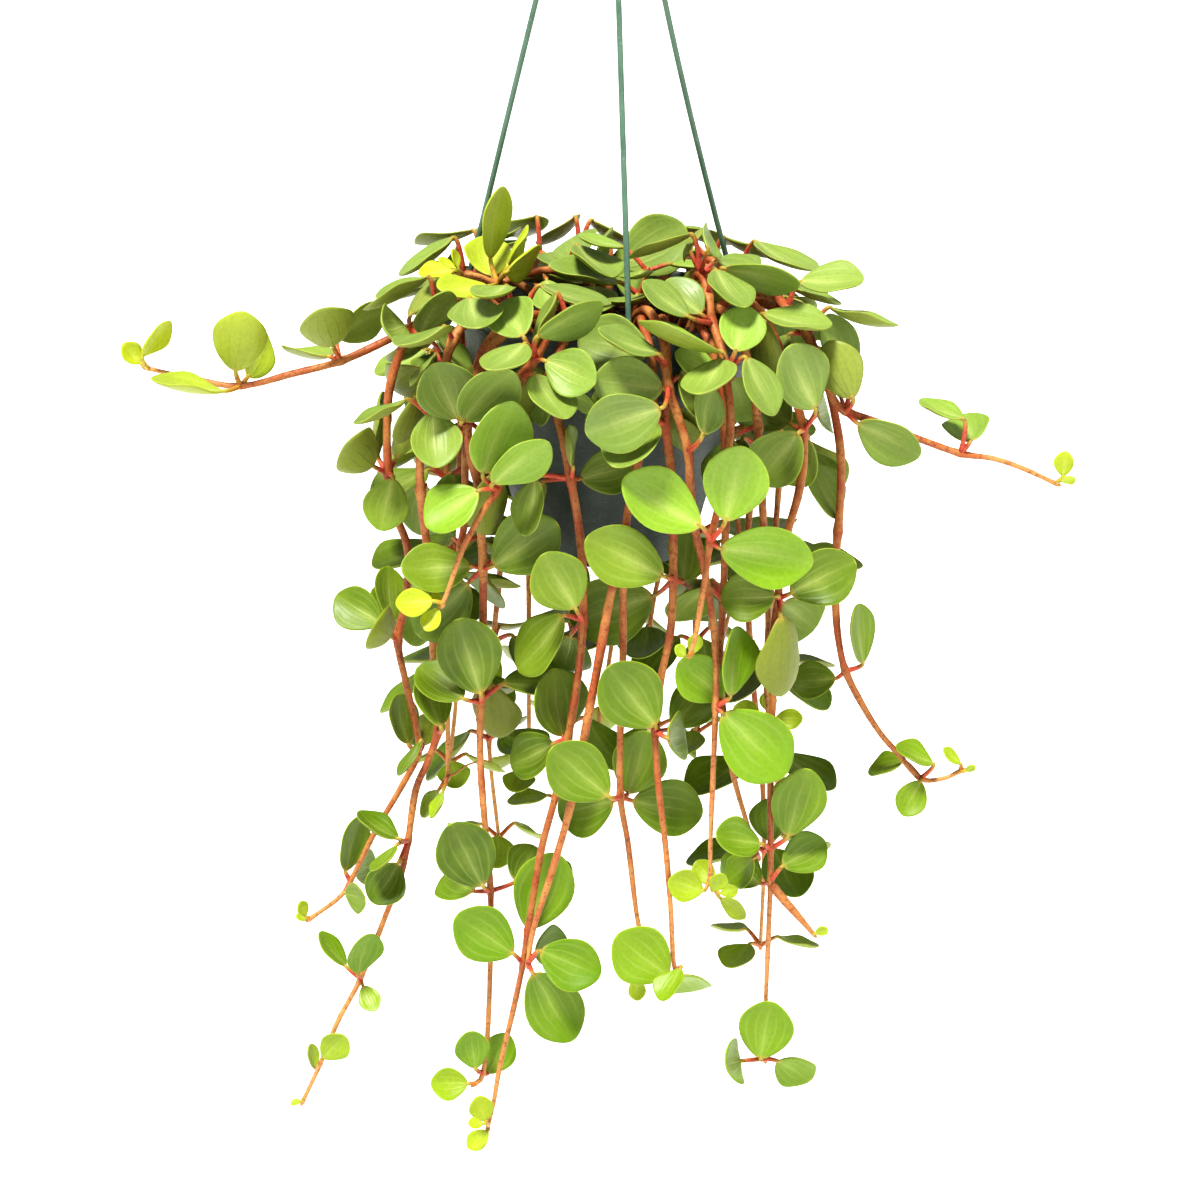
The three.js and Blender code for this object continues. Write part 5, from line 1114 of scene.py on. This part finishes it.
def make_soil(material):
    """Potting mix: a lumpy crowned top over a plain filling, with bark and grit lying on it."""
    chance = np.random.default_rng(SOIL_SEED)
    gap = WALL + SOIL_GAP
    foot = BASE_HEIGHT + FOOT_HEIGHT + gap
    low = [
        (0.01, foot),
        (BASE_RADIUS - gap - 0.2, foot),
        (BODY_RADIUS - gap - 0.2, COLLAR_BASE - 3.5),
        (COLLAR_RADIUS - gap - 0.2, COLLAR_BASE + 1.2),
        (COLLAR_RADIUS - gap + 0.7, SOIL_TOP - 2.2),
    ]
    edge = COLLAR_RADIUS - gap + 0.4
    top = [(edge * share, SOIL_TOP - 0.9 + 1.1 * (1 - share ** 2)) for share in np.linspace(0.99, 0.004, 34)]
    around = 120
    points = lathe_points(low + top, around)
    rows = points[len(low):]
    x, y = rows[..., 0], rows[..., 1]
    lumps = (
        0.5 * np.sin(x / 2.3 + 1.3 * np.sin(y / 3.1)) * np.sin(y / 2.7 + 1.1 * np.sin(x / 3.7))
        + 0.35 * np.sin(x / 1.1 + y / 1.7) * np.sin(y / 1.3 - x / 1.9)
    )
    fade = np.clip((edge - np.hypot(x, y)) / 6, 0, 1)
    points[len(low):, :, 2] += (lumps - 0.3) * fade + chance.uniform(-0.12, 0.12, x.shape) * fade
    surface = Surface()
    tone = np.array((0.0, 0.0, 0.5))
    surface.rings(points, np.zeros(3), tone, 0)
    for _ in range(SOIL_CRUMBS):
        radius = edge * 0.95 * math.sqrt(chance.random())
        turn = chance.uniform(0, 2 * math.pi)
        spot = np.array((radius * math.cos(turn), radius * math.sin(turn), SOIL_TOP + 0.1))
        kind = chance.choice((0.15, 0.5, 0.9), p=(0.5, 0.34, 0.16))
        long = chance.uniform(1.2, 3.6) if kind == 0.5 else chance.uniform(0.6, 1.4)
        thick = chance.uniform(0.4, 0.7) if kind == 0.5 else long * 0.7
        heading = chance.uniform(0, 2 * math.pi)
        ahead = np.array((math.cos(heading), math.sin(heading), chance.uniform(-0.15, 0.15)))
        line = spot + ahead * (np.linspace(-1, 1, 4) * long)[:, None]
        radii = thick * np.array((0.35, 1, 0.9, 0.3)) * chance.uniform(0.8, 1.2, 4)
        surface.rings(tube(line, radii, 6), np.zeros(3), np.array((kind, 0, chance.random())), 0)
    soil = surface.make("soil_fine", [material])
    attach(soil, "root")
    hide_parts("soil")


def make_hanger(material):
    """The hook with its ribbed socket block, and three round strands that clip into the pot."""
    middle = HOOK_INNER_RADIUS + HOOK_ROD_RADIUS
    path = [(0, 0, BLOCK_TOP - 3), (0, 0, BLOCK_TOP + 1), (middle * 0.35, 0, BLOCK_TOP + 4.5)]
    for angle in range(-50, 206, 15):
        turn = math.radians(angle)
        path.append((middle * math.cos(turn), 0, -HOOK_INNER_RADIUS + middle * math.sin(turn)))
    line = Curve(path, centripetal=True).at(np.linspace(0, 1, 150))
    radii = np.full(150, float(HOOK_ROD_RADIUS))
    radii[-4:] *= (0.97, 0.87, 0.66, 0.3)
    block = [(0.01, BLOCK_TOP - BLOCK_HEIGHT), (BLOCK_RADIUS, BLOCK_TOP - BLOCK_HEIGHT)]
    for index in range(3):
        height = BLOCK_TOP - BLOCK_HEIGHT + 3 + 2.6 * index
        radius = BLOCK_RADIUS * (1 - 0.2 * (height - BLOCK_TOP + BLOCK_HEIGHT) / BLOCK_HEIGHT)
        block += [(radius, height), (radius - 0.5, height + 0.4), (radius - 0.5, height + 0.9),
                  (radius, height + 1.3)]
    block += [(BLOCK_RADIUS * 0.8, BLOCK_TOP), (0.01, BLOCK_TOP)]
    head = ring_mesh("block", lathe_points(rounded(block, 0.5, 2), 64))
    cutters = []
    for angle, bow in STRANDS:
        strand = strand_path(angle, bow)
        outward = unit(strand[1] - strand[0])
        start = strand[0] - outward * CLEARANCE
        end = start + outward * 2.5 * SOCKET_DEPTH
        cutters.append(rod_between("socket", start, end, STRAND_RADIUS + CLEARANCE))
    subtract(head, cutters)
    hook = ring_mesh("hook", tube(line, radii, 16))
    join = head.modifiers.new("join", "BOOLEAN")
    join.operation = "UNION"
    join.object = hook
    join.solver = "EXACT"
    bpy.context.view_layer.update()
    bake(head)
    bpy.data.objects.remove(hook)
    head.name = "hanger_hook_fine"
    head.data.name = "hanger_hook_fine"
    dress(head, material, "hanger", "hanger_hook")
    for index, (angle, bow) in enumerate(STRANDS):
        name = f"hanger_strand_{index + 1}"
        line = Curve(strand_path(angle, bow), centripetal=True).at(np.linspace(0, 1, 200))
        radii = np.full(200, STRAND_RADIUS)
        radii[[0, -1]] *= 0.75
        piece = ring_mesh(f"{name}_fine", tube(line, radii, 14))
        dress(piece, material, "hanger", name)


class Tree:
    """Adds nodes to a material or group and links whatever is given to their inputs."""

    def __init__(self, tree):
        self.tree = tree

    def add(self, kind, inputs=None, **settings):
        node = self.tree.nodes.new(kind)
        for name, value in settings.items():
            setattr(node, name, value)
        for name, value in (inputs or {}).items():
            if isinstance(value, bpy.types.NodeSocket):
                self.tree.links.new(value, node.inputs[name])
            else:
                node.inputs[name].default_value = value
        return node

    def math(self, operation, a, b=0.0):
        return self.add("ShaderNodeMath", {0: a, 1: b}, operation=operation).outputs[0]

    def times(self, a, b):
        return self.math("MULTIPLY", a, b)

    def mix(self, factor, a, b, blend="MIX"):
        node = self.add("ShaderNodeMix", data_type="RGBA", blend_type=blend)
        for index, value in ((0, factor), (6, a), (7, b)):
            if isinstance(value, bpy.types.NodeSocket):
                self.tree.links.new(value, node.inputs[index])
            else:
                node.inputs[index].default_value = value
        return node.outputs[2]

    def step(self, value, low, high, to_low=0.0, to_high=1.0):
        """The value eased from one level to another between two limits."""
        return self.add(
            "ShaderNodeMapRange",
            {"Value": value, "From Min": low, "From Max": high, "To Min": to_low, "To Max": to_high},
            interpolation_type="SMOOTHSTEP",
        ).outputs["Result"]

    def place(self):
        return self.add("ShaderNodeTexCoord").outputs["Object"]

    def height(self):
        return self.add("ShaderNodeSeparateXYZ", {0: self.place()}).outputs["Z"]

    def noise(self, scale, detail=2.0):
        inputs = {"Vector": self.place(), "Scale": scale, "Detail": detail, "Roughness": 0.5}
        return self.add("ShaderNodeTexNoise", inputs).outputs["Fac"]

    def values(self, name):
        vector = self.add("ShaderNodeAttribute", attribute_name=name).outputs["Vector"]
        return self.add("ShaderNodeSeparateXYZ", {0: vector}).outputs


def linear(red, green, blue):
    """A screen colour of 0 to 255 as the linear colour that shaders take."""
    def one(value):
        share = value / 255
        return share / 12.92 if share <= 0.04045 else ((share + 0.055) / 1.055) ** 2.4
    return (one(red), one(green), one(blue), 1.0)


def grain_group():
    """A shared effect: broad mottling, fine speckle and tiny pores, from noises in metres."""
    group = bpy.data.node_groups.new("grain", "ShaderNodeTree")
    for name in ("Broad", "Fine", "Pores"):
        group.interface.new_socket(name, in_out="OUTPUT", socket_type="NodeSocketFloat")
    tree = Tree(group)
    out = group.nodes.new("NodeGroupOutput")
    for name, scale, detail in (("Broad", 90, 3), ("Fine", 700, 3), ("Pores", 2600, 2)):
        group.links.new(tree.noise(scale, detail), out.inputs[name])
    return group


def new_material(name):
    material = bpy.data.materials.new(name)
    material.use_nodes = True
    tree = Tree(material.node_tree)
    shader = material.node_tree.nodes["Principled BSDF"]
    return material, tree, shader


def grain_of(tree, grain):
    node = tree.add("ShaderNodeGroup")
    node.node_tree = grain
    return node.outputs


def bump(tree, shader, height, distance, strength):
    node = tree.add("ShaderNodeBump", {"Strength": strength, "Distance": distance, "Height": height})
    tree.tree.links.new(node.outputs["Normal"], shader.inputs["Normal"])


def finish_material(tree, shader, colour, roughness, specular=0.5):
    tree.tree.links.new(colour, shader.inputs["Base Color"])
    tree.tree.links.new(roughness, shader.inputs["Roughness"])
    shader.inputs["Specular IOR Level"].default_value = specular


def blade_material(grain):
    """A fleshy leaf: green by its age, five pale veins from base to tip, a pale margin and a browner
    underside, with painted light by height: a grey painted sheen on the crown, painted shade and a
    deeper green further down, and a painted highlight down the middle that is stronger higher up.
    form holds along, aside and below, tone fresh, lime and chance."""
    material, tree, shader = new_material("leaf_blade")
    noise = grain_of(tree, grain)
    along, aside, below = tree.values("form")
    fresh, lime, chance = tree.values("tone")
    wander = tree.times(tree.math("SUBTRACT", noise["Broad"], 0.5), 0.16)
    away = tree.math("ABSOLUTE", tree.math("ADD", aside, wander))
    veins = tree.step(away, 0.0, 0.075, 1.0, 0.0)
    for place, width, weight in ((0.36, 0.075, 0.8), (0.7, 0.085, 0.6)):
        near = tree.math("ABSOLUTE", tree.math("SUBTRACT", away, place))
        vein = tree.times(tree.step(near, 0.0, width, 1.0, 0.0), weight)
        veins = tree.math("MAXIMUM", veins, vein)
    veins = tree.times(veins, tree.step(along, 0.45, 0.95, 1.0, 0.12))
    veins = tree.times(veins, tree.step(noise["Fine"], 0.3, 0.6, 0.55, 1.0))
    # painted highlight: a pale band down the middle of the upper side, fading towards the tip
    soft = tree.times(tree.step(away, 0.0, 0.4, 1.0, 0.0), tree.step(along, 0.2, 0.8, 1.0, 0.2))
    side = tree.step(tree.math("ABSOLUTE", aside), 0.95, 1.0)
    margin = tree.math("MAXIMUM", side, tree.step(along, 0.975, 0.998))

    mature = tree.mix(chance, linear(78, 100, 12), linear(116, 140, 32))
    green = tree.mix(tree.step(fresh, 0.1, 0.9), mature, linear(126, 166, 26))
    height = tree.height()
    # painted sheen: crown leaves turn a pale grey green by height, standing in for reflected overhead light
    painted_sheen = tree.step(height, *PAINTED_SHEEN_HEIGHTS, 0.0, 0.4)
    green = tree.mix(painted_sheen, green, linear(150, 172, 100))
    # painted shade: leaves further down are darkened, as if less light reached them, and turned a deeper
    # green
    shade_and_deep_green = tree.mix(1.0, green, linear(198, 210, 70), "MULTIPLY")
    green = tree.mix(tree.step(height, *SHADE_AND_DEEP_GREEN_HEIGHTS, 0.9, 0.0), green, shade_and_deep_green)
    green = tree.mix(lime, green, linear(184, 196, 34))
    mottle = tree.step(noise["Broad"], 0.3, 0.7)
    green = tree.mix(tree.times(mottle, 0.25), green, linear(126, 146, 44))
    # this pale colour serves both the painted highlight and the real pale veins
    pale = tree.mix(0.5, green, linear(216, 224, 140))
    # the painted highlight is stronger higher up, where more light falls
    soft = tree.times(soft, tree.step(height, *PAINTED_HIGHLIGHT_HEIGHTS, 0.2, 0.5))
    upper = tree.mix(soft, green, pale)
    upper = tree.mix(tree.times(veins, 0.26), upper, pale)
    upper = tree.mix(tree.times(margin, 0.55), upper, linear(182, 196, 64))
    shade = tree.times(tree.math("SUBTRACT", 1.0, lime), 0.5)
    lower = tree.mix(shade, green, linear(136, 136, 52))
    dark = tree.times(veins, tree.times(shade, 0.6))
    lower = tree.mix(dark, lower, linear(92, 104, 40))
    colour = tree.mix(tree.step(below, 0.3, 0.7), upper, lower)
    speckle = tree.times(tree.step(noise["Fine"], 0.35, 0.75), 0.14)
    colour = tree.mix(speckle, colour, linear(50, 66, 16))
    base = tree.times(tree.step(along, 0.0, 0.09, 1.0, 0.0), 0.5)
    colour = tree.mix(base, colour, linear(186, 150, 76))

    roughness = tree.step(noise["Broad"], 0.2, 0.8, 0.36, 0.5)
    finish_material(tree, shader, colour, roughness, 0.3)
    relief = tree.math("SUBTRACT", tree.times(noise["Fine"], 0.25), tree.times(veins, 0.7))
    bump(tree, shader, relief, 0.0003, 0.5)
    return material


def skin_material(grain):
    """Stems in tan and red patches, paler near the tip, and petioles red at the stem and olive at
    the blade.

    form holds the share along, the share of the stem's age, and 1 on a petiole."""
    material, tree, shader = new_material("stem_skin")
    noise = grain_of(tree, grain)
    along, age, petiole = tree.values("form")
    _, lime, chance = tree.values("tone")
    tan = tree.mix(chance, linear(172, 108, 54), linear(204, 142, 82))
    red = tree.mix(tree.step(noise["Broad"], 0.3, 0.7), linear(124, 54, 26), linear(162, 82, 42))
    stem = tree.mix(tree.step(noise["Broad"], 0.35, 0.65), tan, red)
    stem = tree.mix(tree.step(age, 0.75, 1.0, 0.0, 0.6), stem, linear(206, 156, 92))
    leafstalk = tree.mix(tree.step(along, 0.35, 0.95), linear(186, 78, 56), linear(158, 142, 56))
    leafstalk = tree.mix(tree.times(lime, 0.6), leafstalk, linear(184, 190, 40))
    colour = tree.mix(petiole, stem, leafstalk)
    fleck = tree.step(noise["Fine"], 0.52, 0.66)
    colour = tree.mix(tree.times(fleck, 0.5), colour, linear(92, 38, 18))
    light = tree.step(noise["Pores"], 0.6, 0.72)
    colour = tree.mix(tree.times(light, 0.3), colour, linear(232, 184, 128))
    roughness = tree.step(noise["Fine"], 0.3, 0.7, 0.4, 0.55)
    finish_material(tree, shader, colour, roughness, 0.3)
    height = tree.math("ADD", noise["Fine"], tree.times(noise["Pores"], 0.4))
    bump(tree, shader, height, 0.0003, 0.5)
    return material


def pot_material(grain):
    """Moulded plastic in a dark slate green, a little scuffed and dusty, with faint turning lines."""
    material, tree, shader = new_material("pot_plastic")
    noise = grain_of(tree, grain)
    lines = tree.math("SINE", tree.times(tree.height(), 4200.0))
    colour = tree.mix(tree.step(noise["Broad"], 0.3, 0.7), linear(44, 54, 50), linear(58, 70, 64))
    dust = tree.times(tree.step(noise["Fine"], 0.5, 0.8), 0.3)
    colour = tree.mix(dust, colour, linear(104, 106, 94))
    roughness = tree.step(noise["Fine"], 0.3, 0.7, 0.38, 0.55)
    finish_material(tree, shader, colour, roughness)
    height = tree.math("ADD", tree.times(lines, 0.25), noise["Pores"])
    bump(tree, shader, height, 0.00012, 0.5)
    return material


def hanger_material(grain):
    """Tougher green plastic, smoother than the pot, with a faint draw grain and small scuffs."""
    material, tree, shader = new_material("hanger_plastic")
    noise = grain_of(tree, grain)
    colour = tree.mix(tree.step(noise["Broad"], 0.3, 0.7), linear(70, 100, 82), linear(86, 116, 96))
    scuff = tree.times(tree.step(noise["Fine"], 0.58, 0.75), 0.35)
    colour = tree.mix(scuff, colour, linear(128, 156, 140))
    roughness = tree.step(noise["Fine"], 0.3, 0.7, 0.3, 0.44)
    finish_material(tree, shader, colour, roughness)
    bump(tree, shader, noise["Pores"], 0.0001, 0.4)
    return material


def soil_material(grain):
    """Potting mix: dark crumbs, tan bark and pale grit, told apart by the first value of tone."""
    material, tree, shader = new_material("potting_mix")
    noise = grain_of(tree, grain)
    kind, _, chance = tree.values("tone")
    dark = tree.mix(tree.step(noise["Fine"], 0.3, 0.7), linear(38, 27, 20), linear(74, 54, 40))
    dark = tree.mix(tree.times(tree.step(noise["Pores"], 0.6, 0.7), 0.6), dark, linear(112, 88, 62))
    bark = tree.mix(chance, linear(112, 74, 48), linear(156, 116, 78))
    bark = tree.mix(tree.times(noise["Fine"], 0.5), bark, linear(70, 44, 30))
    grit = tree.mix(noise["Fine"], linear(224, 218, 204), linear(176, 168, 150))
    colour = tree.mix(tree.step(kind, 0.25, 0.4), dark, bark)
    colour = tree.mix(tree.step(kind, 0.6, 0.8), colour, grit)
    roughness = tree.step(noise["Fine"], 0.3, 0.7, 0.85, 1.0)
    finish_material(tree, shader, colour, roughness, 0.25)
    bump(tree, shader, tree.math("ADD", noise["Fine"], noise["Pores"]), 0.0012, 0.8)
    return material


def floor_material():
    material, tree, shader = new_material("pale_floor")
    colour = tree.mix(tree.noise(3.0, 2.0), (0.90, 0.90, 0.90, 1), (0.94, 0.94, 0.935, 1))
    finish_material(tree, shader, colour, tree.step(tree.noise(8.0), 0.3, 0.7, 0.8, 0.9))
    return material


def sun_light(name, place, spread, strength, colour):
    """A soft distant light that shines from the side that place points to."""
    data = bpy.data.lights.new(name, "SUN")
    data.angle = math.radians(spread)
    data.energy = strength
    data.color = colour
    light = in_scene(bpy.data.objects.new(name, data))
    light.location = place
    across, towards, up = place
    light.rotation_euler = (math.atan2(math.hypot(across, towards), up), 0, math.atan2(across, -towards))


def make_stage():
    """A plain pale floor well below the plant, soft lights round it and the photograph's camera."""
    mesh = bpy.data.meshes.new("floor")
    corners = [(FLOOR_HALF * x, FLOOR_HALF * y, FLOOR_HEIGHT) for x, y in CORNERS]
    mesh.from_pydata(corners, [], [(0, 1, 2, 3)])
    mesh.materials.append(floor_material())
    in_scene(bpy.data.objects.new("floor", mesh))

    world = bpy.data.worlds.new("studio")
    world.use_nodes = True
    background = world.node_tree.nodes["Background"]
    background.inputs["Color"].default_value = (1.0, 1.0, 1.0, 1.0)
    background.inputs["Strength"].default_value = WORLD_LIGHT
    bpy.context.scene.world = world
    sun_light("key", KEY_FROM, 14, KEY_LIGHT, (1.0, 0.985, 0.95))
    sun_light("side", SIDE_FROM, 40, SIDE_LIGHT, (0.98, 0.99, 1.0))

    camera = bpy.data.cameras.new("camera")
    camera.lens = LENS
    camera.sensor_width = SENSOR
    camera.clip_start = 0.05
    camera.clip_end = 60
    view = in_scene(bpy.data.objects.new("camera", camera))
    view.location = EYE * MM
    view.rotation_euler = (math.radians(90) - EYE_PITCH, 0, 0)
    scene = bpy.context.scene
    scene.camera = view
    scene.view_settings.view_transform = "Standard"
    scene.view_settings.look = "Medium High Contrast"


make_stage()
grain = grain_group()
make_plant(place_plant(), blade_material(grain), skin_material(grain))
make_pot(pot_material(grain))
make_soil(soil_material(grain))
make_hanger(hanger_material(grain))
